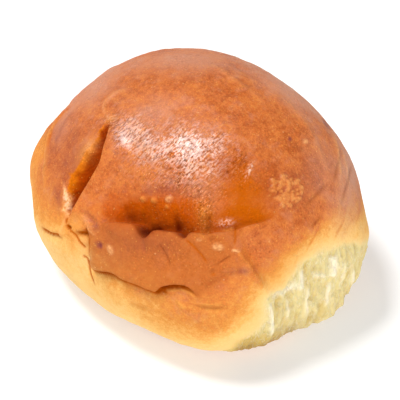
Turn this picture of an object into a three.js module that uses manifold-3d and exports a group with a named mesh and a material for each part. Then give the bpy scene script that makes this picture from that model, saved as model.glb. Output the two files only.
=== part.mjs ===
// A soft bread roll, torn from its neighbour at one end of the tin, with a collapsed, folded front.
// Millimetres, +Z up. The roll's long axis is X and it rests on Z = 0; the torn end faces +X.
// The roll is one closed skin: a superellipsoid, cut flat where it rested and where it was torn,
// then buckled by creases that are drawn on a sketch plane in front of its folded corner.
import * as THREE from "three";
import { mergeVertices } from "three/addons/utils/BufferGeometryUtils.js";
import Module from "manifold-3d";

const DEGREE = Math.PI / 180;

// ---- driving dimensions ----------------------------------------------------------------------

const HALF_LENGTH = 47.4;
const HALF_WIDTH = 36.9;
const TOP_HEIGHT = 58.5;
const WAIST_HEIGHT = 21; // level of the widest outline
const BELLY_DEPTH = 25; // depth of the lower half, before the base is cut flat
const PLAN_POWER = 2.2; // 2 is an ellipse, more is squarer
const CROWN_POWER = 1.87;
const BELLY_POWER = 2.5;
const CROWN_LEAN = [-0.6, 7.4]; // how far the top has slumped back from the folded corner
const LEAN_POWER = 1.5;
const BASE_ROUNDING = 3;
const BASE_TRIM = 0.15; // shaved off below, so that the roll rests on one true plane

const TORN_AZIMUTH = -12 * DEGREE;
const TORN_DISTANCE = 41.5; // from the roll's heart to the torn face
const TORN_ROUNDING = 3.5;

const SKETCH_AZIMUTH = 43 * DEGREE; // the folded corner, seen from the front and above
const SKETCH_ELEVATION = 42 * DEGREE;

const CAGE_DIVISIONS = 30; // squares along one edge of the cage
const CAGE_PULL = 0.42; // how strongly the cage crowds towards the folded corner
const ROUTE_STEPS = 60;
const EDGE_HALF_WIDTH = 0.9; // half the width of the wall at a fold
const GATHER_POWER = 1.6; // how tightly the facets close up along a fold
const NOTCH_REACH = 3; // how far from the lip a notch is still felt

// Slow swells and hollows of the dough: where, how far out, and how broad.
const SWELLS = [
  { at: [37, 24, 29], out: -0.5, width: 6 },
  { at: [41, 21, 22], out: 0.5, width: 5 },
  { at: [43, 16, 16], out: -0.6, width: 5 },
  { at: [42, 6, 7], out: 1.0, width: 6 },
  { at: [39, -9, 5], out: -1.3, width: 6 },
  { at: [34, -20, 6], out: -0.7, width: 7 },
  { at: [13, -32, 7], out: -0.7, width: 8 },
  { at: [-35, -26, 20], out: -0.7, width: 6 },
  { at: [-41, -18, 28], out: 0.5, width: 6 },
  { at: [-41, -4, 38], out: -0.9, width: 7 },
];

// The torn face: the crumb lies below the crust's edge and stands in ridges where strands pulled out.
const CRUMB_OUTLINE = [
  [17.5, -24], [19, -21], [25.2, -16.2], [29.5, -10.8], [37, -9.5],
  [43.3, -12], [40, -21.5], [31, -29.5], [13.5, -35],
];
const CRUMB_DEPTH = 0.9;
const CRUMB_EDGE = 1.4; // distance over which the crust turns down to the crumb
const CRUMB_RIDGES = [
  { spacing: 11, tall: 0.45, skew: 0.12 },
  { spacing: 6.5, tall: 0.35, skew: -0.2 },
];

// ---- small helpers ---------------------------------------------------------------------------

const clamp01 = (x) => Math.min(1, Math.max(0, x));

/** Rises smoothly from 0 at low to 1 at high. */
const smoothstep = (x, low, high) => {
  const t = clamp01((x - low) / (high - low));
  return t * t * (3 - 2 * t);
};

/** The smaller of two lengths, with the corner between them rounded over about `round`. */
const softMin = (a, b, round) => {
  const share = clamp01(0.5 + (0.5 * (b - a)) / round);
  return b * (1 - share) + a * share - round * share * (1 - share);
};

/** Bell curve of the given half width. */
const bell = (x, width) => Math.exp(-((x / width) ** 2));

const vectorAt = (azimuth, elevation) =>
  new THREE.Vector3(
    Math.cos(azimuth) * Math.cos(elevation),
    Math.sin(azimuth) * Math.cos(elevation),
    Math.sin(elevation),
  );

// ---- the dough body --------------------------------------------------------------------------

const HEART = new THREE.Vector3(0, 0, WAIST_HEIGHT);
const TORN_NORMAL = vectorAt(TORN_AZIMUTH, 0);

/** The smooth skin in a direction from the heart: superellipsoid, flat base, flat torn end, leaning crown. */
function doughSkin(direction) {
  const { x, y, z } = direction;
  const plan =
    ((Math.abs(x) / HALF_LENGTH) ** PLAN_POWER +
      (Math.abs(y) / HALF_WIDTH) ** PLAN_POWER) **
    (1 / PLAN_POWER);
  const reach = z >= 0 ? TOP_HEIGHT - WAIST_HEIGHT : BELLY_DEPTH;
  const power = z >= 0 ? CROWN_POWER : BELLY_POWER;
  let radius = (plan ** power + (Math.abs(z) / reach) ** power) ** (-1 / power);
  if (z < 0) radius = softMin(radius, WAIST_HEIGHT / -z, BASE_ROUNDING);
  const facing = direction.dot(TORN_NORMAL);
  if (facing > 0)
    radius = softMin(radius, TORN_DISTANCE / facing, TORN_ROUNDING);
  const point = direction.clone().multiplyScalar(radius).add(HEART);
  const height = clamp01(
    (point.z - WAIST_HEIGHT) / (TOP_HEIGHT - WAIST_HEIGHT),
  );
  point.x += CROWN_LEAN[0] * height ** LEAN_POWER;
  point.y += CROWN_LEAN[1] * height ** LEAN_POWER;
  return point;
}

/** The skin's outward normal, from four neighbouring points. */
function doughNormal(direction) {
  const step = 1e-3;
  const helper =
    Math.abs(direction.z) < 0.9
      ? new THREE.Vector3(0, 0, 1)
      : new THREE.Vector3(1, 0, 0);
  const across = helper.cross(direction).normalize();
  const along = direction.clone().cross(across);
  const near = (way, size) =>
    doughSkin(direction.clone().addScaledVector(way, size).normalize());
  const a = near(across, step).sub(near(across, -step));
  const b = near(along, step).sub(near(along, -step));
  return a.cross(b).normalize();
}

// ---- the sketch plane ------------------------------------------------------------------------

const SKETCH_NORMAL = vectorAt(SKETCH_AZIMUTH - 90 * DEGREE, SKETCH_ELEVATION);
const SKETCH_RIGHT = new THREE.Vector3(
  Math.cos(SKETCH_AZIMUTH),
  Math.sin(SKETCH_AZIMUTH),
  0,
);
const SKETCH_UP = SKETCH_NORMAL.clone().cross(SKETCH_RIGHT);

const sketched = (point) => {
  const from = point.clone().sub(HEART);
  return new THREE.Vector2(from.dot(SKETCH_RIGHT), from.dot(SKETCH_UP));
};

/** A crease's route as a chain of points: a smooth curve through the few that shape it. */
const routeOf = (points) =>
  new THREE.SplineCurve(
    points.map(([u, v]) => new THREE.Vector2(u, v)),
  ).getSpacedPoints(ROUTE_STEPS);

/** Where a sketched point lies by a route: offset (positive on its left), share of its length, and the way left. */
function besideRoute(route, p) {
  let best = { distance: Infinity };
  for (let i = 0; i + 1 < route.length; i++) {
    const a = route[i];
    const run = route[i + 1].clone().sub(a);
    const length = run.length();
    const way = run.divideScalar(length);
    const from = p.clone().sub(a);
    const t = Math.min(length, Math.max(0, from.dot(way)));
    const away = from.clone().addScaledVector(way, -t);
    const distance = away.length();
    if (distance >= best.distance) continue;
    const left = new THREE.Vector2(-way.y, way.x);
    const side = from.dot(left) >= 0 ? 1 : -1;
    best = { distance, side, left, away, share: (i + t / length) / ROUTE_STEPS };
  }
  const normal =
    best.distance > 1e-3
      ? best.away.multiplyScalar(best.side / best.distance)
      : best.left;
  return { offset: best.side * best.distance, share: best.share, normal };
}

// ---- the creases -----------------------------------------------------------------------------

// A crease raises the skin on the left of its route by `lift` and sinks it on the right by `sink`, each over a width.
// `tuck` pushes the raised lip over the sunk side, and `gather` is how far off the facets start to close up.
// `fade` is the share of the route over which each end dies away.
// `notches` are nicks that scallop the lip: a share of the route, how deep and how wide.
const CREASES = [
  {
    // the rim of the folded apron, in front of the trench that the crown sinks into
    route: [[15.9, -3.1], [9.5, -5.1], [2, -5.9], [-7, -5.6], [-12, -5.8], [-18, -3.8], [-23.5, -6.1]],
    lift: 1.2, liftWidth: 5, sink: 5.5, sinkWidth: 6.5, tuck: 0.35, fade: [0.42, 0.14], gather: 6,
    notches: [{ share: 0.45, deep: 1.0, wide: 0.03 }, { share: 0.7, deep: 1.3, wide: 0.035 }],
  },
  {
    // the apron's lower edge, hanging over the belly
    route: [[-26.7, -12.9], [-20.5, -16.3], [-9.2, -20.6], [-1.8, -19.2], [2.2, -21.4], [12.6, -16.1]],
    lift: 1.5, liftWidth: 5.5, sink: 1.1, sinkWidth: 2.6, tuck: 0.5, fade: [0.08, 0.5], gather: 5,
  },
  {
    // the apron's left edge
    route: [[-27.1, -2.0], [-26.3, -6.4], [-26.6, -12.9]],
    lift: 0.9, liftWidth: 3, sink: 1.3, sinkWidth: 2.2, tuck: 0.3, fade: [0.25, 0.15], gather: 3,
  },
  {
    // the long split up the left of the crown
    route: [[-21.2, 22.4], [-22.7, 14.7], [-25.5, 7.6], [-30.8, -1.0]],
    lift: 1.0, liftWidth: 5, sink: 4, sinkWidth: 5.2, tuck: 0.35, fade: [0.35, 0.12], gather: 6,
  },
  {
    // a second split round the left shoulder
    route: [[-35.0, 25.0], [-40.0, 15.6], [-41.5, 10.0]],
    lift: 0.7, liftWidth: 4, sink: 1.8, sinkWidth: 4, tuck: 0.2, fade: [0.4, 0.4], gather: 4,
  },
  {
    // a fold in the left cheek
    route: [[-40.7, -4.0], [-37.0, -5.6], [-33.6, -7.8]],
    lift: 0.6, liftWidth: 3, sink: 0.5, sinkWidth: 2, tuck: 0.2, fade: [0.3, 0.2], gather: 3,
  },
  {
    // the ridge that runs from the apron's right end down to the torn corner
    route: [[18.0, -21.3], [13.8, -15.1], [9.0, -10.2]],
    lift: 0.9, liftWidth: 2.4, sink: 1.2, sinkWidth: 3.4, tuck: 0.1, fade: [0.3, 0.25], gather: 4,
  },
];

const SKETCHED_CREASES = CREASES.map((crease) => ({
  notches: [],
  ...crease,
  route: routeOf(crease.route),
}));

/** Where a sketched point lies by a crease, once the notches have set its lip back. */
function besideCrease({ route, notches }, p) {
  const beside = besideRoute(route, p);
  const near = bell(beside.offset, NOTCH_REACH);
  for (const { share, deep, wide } of notches)
    beside.offset -= deep * near * bell(beside.share - share, wide);
  return beside;
}

/** How strong a crease is at a share of its route. */
const strength = ({ fade }, share) =>
  smoothstep(share, 0, fade[0]) * smoothstep(1 - share, 0, fade[1]);

/** Draws a sketched point towards a crease, so that the facets are narrow where the skin turns sharply. */
function gathered(crease, p) {
  const { offset, share, normal } = besideCrease(crease, p);
  const reach = crease.gather;
  const apart = Math.abs(offset);
  if (apart >= reach) return new THREE.Vector2();
  const moved = reach * (apart / reach) ** GATHER_POWER;
  const pull = (moved - apart) * Math.sign(offset) * strength(crease, share);
  return normal.clone().multiplyScalar(pull);
}

/** The crease's push at a sketched point: out along the skin's normal, and sideways in the sketch plane. */
function buckled(crease, p) {
  const { offset, share, normal } = besideCrease(crease, p);
  const power = strength(crease, share);
  const raised = 0.5 * (1 + Math.tanh(offset / EDGE_HALF_WIDTH));
  const out =
    raised * crease.lift * bell(offset, crease.liftWidth) -
    (1 - raised) * crease.sink * bell(offset, crease.sinkWidth);
  const tuck = (1 - 2 * raised) * crease.tuck * bell(offset, 1.6 * crease.tuck + 0.4);
  return { out: power * out, aside: normal.clone().multiplyScalar(power * tuck) };
}

// ---- the torn face ---------------------------------------------------------------------------

const CRUMB_ROUTE = routeOf([...CRUMB_OUTLINE, CRUMB_OUTLINE[0]]);

/** Whether a sketched point lies inside a closed route. */
function enclosed(route, p) {
  let inside = false;
  for (let i = 0; i + 1 < route.length; i++) {
    const a = route[i];
    const b = route[i + 1];
    if (a.y > p.y === b.y > p.y) continue;
    if (p.x < a.x + ((b.x - a.x) * (p.y - a.y)) / (b.y - a.y)) inside = !inside;
  }
  return inside;
}

/** How far the crumb lies in or out from the smooth skin, at a sketched point and its height. */
function crumbRelief(p, height) {
  if (!enclosed(CRUMB_ROUTE, p)) return 0;
  const inset = Math.abs(besideRoute(CRUMB_ROUTE, p).offset);
  const ridges = CRUMB_RIDGES.reduce(
    (sum, { spacing, tall, skew }) =>
      sum + tall * Math.cos((2 * Math.PI * (p.x + skew * height)) / spacing),
    0,
  );
  return smoothstep(inset, 0, CRUMB_EDGE) * (ridges - CRUMB_DEPTH);
}

// ---- the skin --------------------------------------------------------------------------------

/** How far the dough swells out or hollows in at a point. */
const swollen = (point) =>
  SWELLS.reduce(
    (sum, { at, out, width }) =>
      sum + out * bell(point.distanceTo(new THREE.Vector3(...at)), width),
    0,
  );

/** A cube's grid blown up to directions that crowd towards the folded corner. */
function cageDirections() {
  const n = CAGE_DIVISIONS;
  const cage = new THREE.BoxGeometry(2, 2, 2, n, n, n);
  cage.deleteAttribute("normal");
  cage.deleteAttribute("uv");
  const merged = mergeVertices(cage, 1e-4);
  const turn = new THREE.Quaternion().setFromUnitVectors(
    new THREE.Vector3(0, 0, 1),
    SKETCH_NORMAL,
  );
  const even = (x) => Math.tan((x * Math.PI) / 4);
  const position = merged.getAttribute("position");
  const directions = [];
  for (let i = 0; i < position.count; i++)
    directions.push(
      new THREE.Vector3(
        even(position.getX(i)),
        even(position.getY(i)),
        even(position.getZ(i)),
      )
        .normalize()
        .applyQuaternion(turn)
        .addScaledVector(SKETCH_NORMAL, CAGE_PULL)
        .normalize(),
    );
  return { directions, triangles: merged.index.array };
}

/** One point of the finished skin. */
function rollSkin(direction) {
  const normal = doughNormal(direction);
  const point = doughSkin(direction);
  const facing = smoothstep(normal.dot(SKETCH_NORMAL), -0.05, 0.3);
  const slide = (aside) => {
    const way = SKETCH_RIGHT.clone()
      .multiplyScalar(aside.x)
      .addScaledVector(SKETCH_UP, aside.y);
    way.addScaledVector(normal, -way.dot(normal));
    point.addScaledVector(way, facing);
  };
  for (const crease of SKETCHED_CREASES) slide(gathered(crease, sketched(point)));
  const p = sketched(point);
  let out = crumbRelief(p, point.z);
  for (const crease of SKETCHED_CREASES) {
    const push = buckled(crease, p);
    out += push.out;
    slide(push.aside);
  }
  const above = smoothstep(point.z, 0, 4);
  return point.addScaledVector(normal, out * facing + swollen(point) * above);
}

const wasm = await Module();
wasm.setup();

/** The closed skin as a solid, shaved flat below and stood on Z = 0. */
function rollGeometry() {
  const { directions, triangles } = cageDirections();
  const points = directions.flatMap((d) => rollSkin(d).toArray());
  const solid = new wasm.Manifold(
    new wasm.Mesh({
      numProp: 3,
      vertProperties: new Float32Array(points),
      triVerts: new Uint32Array(triangles),
    }),
  )
    .trimByPlane([0, 0, 1], BASE_TRIM)
    .translate([0, 0, -BASE_TRIM]);
  const mesh = solid.getMesh();
  const geometry = new THREE.BufferGeometry();
  geometry.setAttribute(
    "position",
    new THREE.BufferAttribute(mesh.vertProperties, mesh.numProp),
  );
  geometry.setIndex(new THREE.BufferAttribute(mesh.triVerts, 1));
  geometry.computeVertexNormals();
  return geometry;
}

const crust = new THREE.MeshStandardMaterial({
  color: 0xd0783c,
  roughness: 0.45,
  metalness: 0,
});

const roll = new THREE.Mesh(rollGeometry(), crust);
roll.name = "bread_roll";

const part = new THREE.Group();
part.add(roll);

export default part;
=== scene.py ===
"""A soft bread roll: glossy crown, split and folded crust, and the pale crumb where it was torn off.

The skin is worked out in millimetres from the heart of the dough and put into the mesh in metres.
The roll rests on Z = 0, its long axis is X and the torn end faces +X.
"""

from __future__ import annotations

import logging
import math
from dataclasses import dataclass, field
from enum import Enum

import bpy
import numpy as np
from mathutils import Matrix, Vector

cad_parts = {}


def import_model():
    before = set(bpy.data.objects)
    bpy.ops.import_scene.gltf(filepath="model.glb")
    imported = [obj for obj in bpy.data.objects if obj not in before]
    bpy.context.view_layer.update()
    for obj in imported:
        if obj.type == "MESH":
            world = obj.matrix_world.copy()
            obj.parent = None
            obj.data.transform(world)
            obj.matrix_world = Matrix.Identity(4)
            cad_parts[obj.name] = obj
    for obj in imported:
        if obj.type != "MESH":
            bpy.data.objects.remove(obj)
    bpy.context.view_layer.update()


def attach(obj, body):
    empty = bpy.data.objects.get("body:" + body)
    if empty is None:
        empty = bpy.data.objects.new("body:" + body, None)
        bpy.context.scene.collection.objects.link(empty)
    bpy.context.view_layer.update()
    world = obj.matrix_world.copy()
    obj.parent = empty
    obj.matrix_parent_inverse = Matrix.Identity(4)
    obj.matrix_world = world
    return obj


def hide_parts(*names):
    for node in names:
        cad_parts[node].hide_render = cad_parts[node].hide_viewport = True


LOG = logging.getLogger("bread_roll")
METRE = 0.001  # one millimetre in metres
Array = np.ndarray
Point2 = tuple[float, float]


# ---- curves and fades ------------------------------------------------------------------------


def smoothstep(x: Array, low: float, high: float) -> Array:
    """Rises smoothly from 0 at low to 1 at high: 3t^2 - 2t^3 of the clipped share t."""
    t = np.clip((x - low) / (high - low), 0.0, 1.0)
    return t * t * (3.0 - 2.0 * t)


def bell(x: Array, width: float | Array) -> Array:
    """Bell curve exp(-(x / width)^2)."""
    return np.exp(-((x / width) ** 2))


def soft_min(a: Array, b: Array, rounding: float) -> Array:
    """The smaller of two lengths, with the corner between them rounded.

    Args:
        a: First length.
        b: Second length.
        rounding: Difference over which one gives way to the other.

    Returns:
        b + (a - b) h - rounding h (1 - h), where h is the clipped share of a.
    """
    share = np.clip(0.5 + 0.5 * (b - a) / rounding, 0.0, 1.0)
    return b * (1 - share) + a * share - rounding * share * (1 - share)


def unit(vectors: Array) -> Array:
    """Each vector divided by its length."""
    return vectors / np.linalg.norm(vectors, axis=-1, keepdims=True)


class Seed(Enum):
    """What is uneven, each with the seed of its random draws."""

    CRACKLE = 9
    TORN_BORDER = 31
    STRAND_WARP = 32
    STRANDS = 33
    SHREDS = 34
    PORES = 35
    LEDGES = 36
    BROWNING = 41
    STROKES = 42
    STAIN_EDGES = 43
    RUMPLE = 51
    FINE_RUMPLE = 52
    SPLIT_EDGE = 61
    CRACKLE_ACROSS = 71
    CRACKLE_UP = 72


class Grain:
    """Seeded smooth noise in space: random values on a unit lattice, joined by smooth fades."""

    def __init__(self, seed: Seed) -> None:
        """Draws the lattice.

        Args:
            seed: Seed of the lattice's values.
        """
        rng = np.random.default_rng(seed.value)
        self._order = np.tile(rng.permutation(256), 2)
        self._values = rng.uniform(-1.0, 1.0, 256)

    def _corner(self, cell: Array) -> Array:
        """The lattice's value at whole-number points."""
        x, y, z = (cell % 256).T
        return self._values[self._order[self._order[self._order[x] + y] + z]]

    def at(self, points: Array) -> Array:
        """Noise at each point.

        Args:
            points: (N, 3) points, one lattice cell to a unit.

        Returns:
            (N,) values between -1 and 1: the eight corner values blended by 3t^2 - 2t^3.
        """
        cell = np.floor(points).astype(int)
        t = points - cell
        fade = t * t * (3.0 - 2.0 * t)
        total = np.zeros(len(points))
        for corner in np.ndindex(2, 2, 2):
            pick = np.array(corner)
            weight = np.prod(np.where(pick, fade, 1.0 - fade), axis=1)
            total += weight * self._corner(cell + pick)
        return total

    def layers(self, points: Array, octaves: int) -> Array:
        """Adds octaves of noise, each at twice the detail and half the height.

        Args:
            points: (N, 3) points, one lattice cell of the coarsest octave to a unit.
            octaves: How many.

        Returns:
            (N,) values, scaled back to about -1 to 1.
        """
        total = np.zeros(len(points))
        for octave in range(octaves):
            total += self.at(points * 2.0**octave + 17.3 * octave) / 2.0**octave
        return total / 1.5


# ---- the dough body --------------------------------------------------------------------------


@dataclass(frozen=True)
class Swell:
    """A slow swelling or, where `out` is negative, a hollow of the dough."""

    at: tuple[float, float, float]
    out: float
    width: float


@dataclass(frozen=True)
class Dough:
    """The smooth dough: a superellipsoid about its heart, cut by the base and by the torn end."""

    half_length: float = 47.4
    half_width: float = 36.9
    top_height: float = 58.5
    waist_height: float = 21.0
    belly_depth: float = 25.0
    plan_power: float = 2.2
    crown_power: float = 1.87
    belly_power: float = 2.5
    lean: Point2 = (-0.6, 7.4)
    lean_power: float = 1.5
    base_rounding: float = 3.0
    base_trim: float = 0.15
    torn_azimuth: float = math.radians(-12.0)
    torn_distance: float = 41.5
    torn_rounding: float = 3.5
    swells: tuple[Swell, ...] = (
        Swell((37, 24, 29), -0.5, 6),
        Swell((41, 21, 22), 0.5, 5),
        Swell((43, 16, 16), -0.6, 5),
        Swell((42, 6, 7), 1.0, 6),
        Swell((39, -9, 5), -1.3, 6),
        Swell((34, -20, 6), -0.7, 7),
        Swell((13, -32, 7), -0.7, 8),
        Swell((-35, -26, 20), -0.7, 6),
        Swell((-41, -18, 28), 0.5, 6),
        Swell((-41, -4, 38), -0.9, 7),
    )

    @property
    def heart(self) -> Array:
        """The point that directions are counted from."""
        return np.array([0.0, 0.0, self.waist_height])

    @property
    def torn_normal(self) -> Array:
        """Outward normal of the torn end."""
        return np.array([math.cos(self.torn_azimuth), math.sin(self.torn_azimuth), 0.0])

    def skin(self, ways: Array) -> Array:
        """Points of the smooth skin.

        Args:
            ways: (N, 3) unit directions from the heart.

        Returns:
            (N, 3) points. The radius is (plan^p + |z / reach|^p)^(-1/p), where plan is the
            superellipse in x and y. Planes for the base and the torn end cut it with rounded
            corners, and the crown then leans by lean times its share of the height.
        """
        x, y, z = ways.T
        n = self.plan_power
        plan = ((abs(x) / self.half_length) ** n + (abs(y) / self.half_width) ** n) ** (1 / n)
        upper = self.top_height - self.waist_height
        reach = np.where(z >= 0, upper, self.belly_depth)
        power = np.where(z >= 0, self.crown_power, self.belly_power)
        radius = (plan**power + (abs(z) / reach) ** power) ** (-1 / power)
        base = self.waist_height / np.maximum(-z, 1e-9)
        radius = np.where(z < 0, soft_min(radius, base, self.base_rounding), radius)
        facing = ways @ self.torn_normal
        torn = self.torn_distance / np.maximum(facing, 1e-9)
        radius = np.where(facing > 0, soft_min(radius, torn, self.torn_rounding), radius)
        points = ways * radius[:, None] + self.heart
        height = np.clip((points[:, 2] - self.waist_height) / upper, 0.0, 1.0)
        points[:, :2] += height[:, None] ** self.lean_power * np.array(self.lean)
        return points

    def normals(self, ways: Array) -> Array:
        """Outward normals of the smooth skin.

        Args:
            ways: (N, 3) unit directions from the heart.

        Returns:
            (N, 3) unit normals: the cross product of two small steps along the skin.
        """
        step = 1e-3
        steep = abs(ways[:, 2:]) < 0.9
        helper = np.where(steep, [[0.0, 0.0, 1.0]], [[1.0, 0.0, 0.0]])
        across = unit(np.cross(helper, ways))
        along = np.cross(ways, across)
        a = self.skin(unit(ways + step * across)) - self.skin(unit(ways - step * across))
        b = self.skin(unit(ways + step * along)) - self.skin(unit(ways - step * along))
        return unit(np.cross(a, b))

    def swollen(self, points: Array) -> Array:
        """How far the dough swells out.

        Args:
            points: (N, 3) points of the skin.

        Returns:
            (N,) pushes out: a bell in space for each swell, none of it at the base.
        """
        total = np.zeros(len(points))
        for swell in self.swells:
            away = np.linalg.norm(points - np.array(swell.at), axis=1)
            total += swell.out * bell(away, swell.width)
        return total * smoothstep(points[:, 2], 0.0, 4.0)


@dataclass(frozen=True)
class SketchPlane:
    """The plane in front of the folded corner on which creases are drawn.

    A sketched position is (u, v), millimetres to the right and up from the heart of the dough.
    """

    azimuth: float = math.radians(43.0)
    elevation: float = math.radians(42.0)

    @property
    def normal(self) -> Array:
        """Unit vector out of the plane, away from the roll."""
        level = math.cos(self.elevation)
        return np.array(
            [
                math.sin(self.azimuth) * level,
                -math.cos(self.azimuth) * level,
                math.sin(self.elevation),
            ]
        )

    @property
    def right(self) -> Array:
        """Unit vector along the plane's u."""
        return np.array([math.cos(self.azimuth), math.sin(self.azimuth), 0.0])

    @property
    def up(self) -> Array:
        """Unit vector along the plane's v."""
        return np.cross(self.normal, self.right)

    def flatten(self, points: Array, origin: Array) -> Array:
        """(N, 2) sketched positions of (N, 3) points."""
        away = points - origin
        return np.stack([away @ self.right, away @ self.up], axis=1)

    def lift(self, moves: Array) -> Array:
        """(N, 3) moves in space of (N, 2) moves in the plane."""
        return moves[:, :1] * self.right + moves[:, 1:] * self.up


# ---- routes, creases and wrinkles -------------------------------------------------------------


class Route:
    """A smooth sketched curve: a Catmull-Rom spline through the few points that shape it."""

    def __init__(self, points: tuple[Point2, ...], closed: bool = False, steps: int = 8) -> None:
        """Works out the chain of points.

        Args:
            points: Sketched points, in millimetres.
            closed: Whether the curve returns to its start.
            steps: Chords between one shaping point and the next.
        """
        shape = np.array(points, float)
        if closed:
            shape = np.vstack([shape[-1], shape, shape[:2]])
        else:
            shape = np.vstack([2 * shape[0] - shape[1], shape, 2 * shape[-1] - shape[-2]])
        t = np.linspace(0, 1, steps, endpoint=False)[:, None]
        chain = []
        for p0, p1, p2, p3 in zip(shape, shape[1:], shape[2:], shape[3:]):
            bend = 2 * p0 - 5 * p1 + 4 * p2 - p3
            twist = 3 * p1 - p0 - 3 * p2 + p3
            chain.append(0.5 * (2 * p1 + (p2 - p0) * t + bend * t**2 + twist * t**3))
        self.chain = np.vstack([*chain, shape[-2]])
        self.closed = closed
        chords = np.linalg.norm(np.diff(self.chain, axis=0), axis=1)
        self.starts = np.concatenate([[0.0], np.cumsum(chords)])

    @property
    def length(self) -> float:
        """Length of the curve in millimetres."""
        return float(self.starts[-1])

    def near(self, spots: Array, reach: float) -> Array:
        """Numbers of the sketched spots inside the curve's box, widened by reach."""
        low, high = self.chain.min(0) - reach, self.chain.max(0) + reach
        return np.nonzero(((spots > low) & (spots < high)).all(1))[0]

    def beside(self, spots: Array) -> tuple[Array, Array, Array]:
        """Where spots lie by the curve.

        Args:
            spots: (N, 2) sketched spots.

        Returns:
            Offset from the nearest chord, positive on the curve's left; share of the curve's
            length there, averaged over the chords with the weight length / (d^2 + 0.05)^4; and
            the unit vector from the curve towards its left, through the spot.
        """
        count = len(spots)
        best = np.full(count, np.inf)
        side, share, weights = np.ones(count), np.zeros(count), np.zeros(count)
        away, left = np.zeros((count, 2)), np.zeros((count, 2))
        for start, end, run in zip(self.chain, self.chain[1:], self.starts):
            chord = end - start
            length = math.hypot(*chord)
            way = chord / length
            turn = np.array([-way[1], way[0]])
            gap = spots - start
            t = np.clip(gap @ way, 0.0, length)
            rest = gap - t[:, None] * way
            distance = np.hypot(rest[:, 0], rest[:, 1])
            nearer = distance < best
            best[nearer] = distance[nearer]
            side[nearer] = np.where(gap[nearer] @ turn >= 0, 1.0, -1.0)
            weight = length / (distance**2 + 0.05) ** 4
            share += weight * (run + t) / self.length
            weights += weight
            away[nearer] = rest[nearer]
            left[nearer] = turn
        safe = np.maximum(best, 1e-6)[:, None]
        normal = np.where(best[:, None] > 1e-3, away * (side[:, None] / safe), left)
        return side * best, share / weights, normal

    def inside(self, spots: Array) -> Array:
        """Finds the spots inside the closed curve.

        Args:
            spots: (N, 2) sketched spots.

        Returns:
            (N,) truths: a spot is inside where it is left of an odd number of chords.
        """
        hits = np.zeros(len(spots), int)
        for a, b in zip(self.chain, self.chain[1:]):
            if a[1] == b[1]:
                continue
            spans = (a[1] > spots[:, 1]) != (b[1] > spots[:, 1])
            crossing = a[0] + (b[0] - a[0]) * (spots[:, 1] - a[1]) / (b[1] - a[1])
            hits += spans & (spots[:, 0] < crossing)
        return hits % 2 == 1

    def depth(self, spots: Array) -> Array:
        """Distance of each spot from the closed curve, positive inside."""
        distance = abs(self.beside(spots)[0])
        return np.where(self.inside(spots), distance, -distance)


class Side(Enum):
    """How the sunk side of a crease falls away from its lip."""

    BOWL = "bowl"  # deepest below the lip, rising as a bell curve
    RAMP = "ramp"  # an open split with a straight wall on its far side


class Tone(Enum):
    """What a small mark on the crust looks like. Each is a mask of the skin."""

    # several tones carry painted light: the dark brown, warm orange-brown and trench tones are partly
    # painted shade, and the glint and pinkish-haze tones are painted highlights and painted reflection
    PALE = "pale"
    GOLD = "gold"
    AMBER_AND_SHADE = "amber"
    DEEP_AND_SHADE = "deep"
    CARAMEL_AND_SHADE = "caramel"
    PLUM = "plum"
    WASH = "wash"
    PAINTED_GLINT = "sheen"
    PAINTED_REFLECTION = "rosy"
    FAIR = "fair"


@dataclass(frozen=True)
class Crease:
    """A fold along a route: the skin is raised on its left and sunk on its right."""

    route: tuple[Point2, ...]
    lift: float  # height of the lip
    lift_width: float
    sink: float  # depth beside it
    sink_width: float
    tuck: float  # how far the sunk side slides under the lip
    fade: Point2  # shares of the route over which the fold dies away, at its start and its end
    gather: float  # how far off the points of the skin are drawn in, or 0
    edge: float = 0.3  # half width of the step at the lip
    side: Side = Side.BOWL
    depths: tuple[Point2, ...] = ((0.0, 1.0), (1.0, 1.0))  # share of the route, share of the sink
    spread: tuple[Point2, ...] = ((0.0, 1.0), (1.0, 1.0))  # share of the route, of the sink's width
    # the dark brown, warm orange-brown and trench tints below are painted shade in the hollow and on the
    # lip's wall
    caramel: float = 0.0  # this and the next ones are the tints that it leaves
    shade_width: float = 1.2
    amber: float = 0.0
    deep: float = 0.0
    split: float = 0.0
    fair: float = 0.0


@dataclass(frozen=True)
class Wrinkle:
    """A ridge (positive height) or a crack (negative height) along a route."""

    route: tuple[Point2, ...]
    height: float
    width: float
    fade: Point2 = (0.3, 0.3)  # shares of the route over which it dies away, at its start and its end
    tone: Tone | None = None
    tint: float = 0.0
    tint_width: float = 0.4
    gather: float = 0.0  # how far off the points of the skin are drawn in, or 0


@dataclass(frozen=True)
class Blister:
    """A small bump or pit, an oval of half sizes `size` turned by `turn` degrees."""

    at: Point2
    size: Point2
    height: float
    turn: float = 0.0
    tone: Tone | None = None
    tint: float = 0.0


@dataclass(frozen=True)
class Stain:
    """A soft patch of colour with a ragged edge, an oval of half sizes `size` turned by `turn` degrees."""

    at: Point2
    size: Point2
    tone: Tone
    tint: float
    turn: float = 0.0


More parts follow.
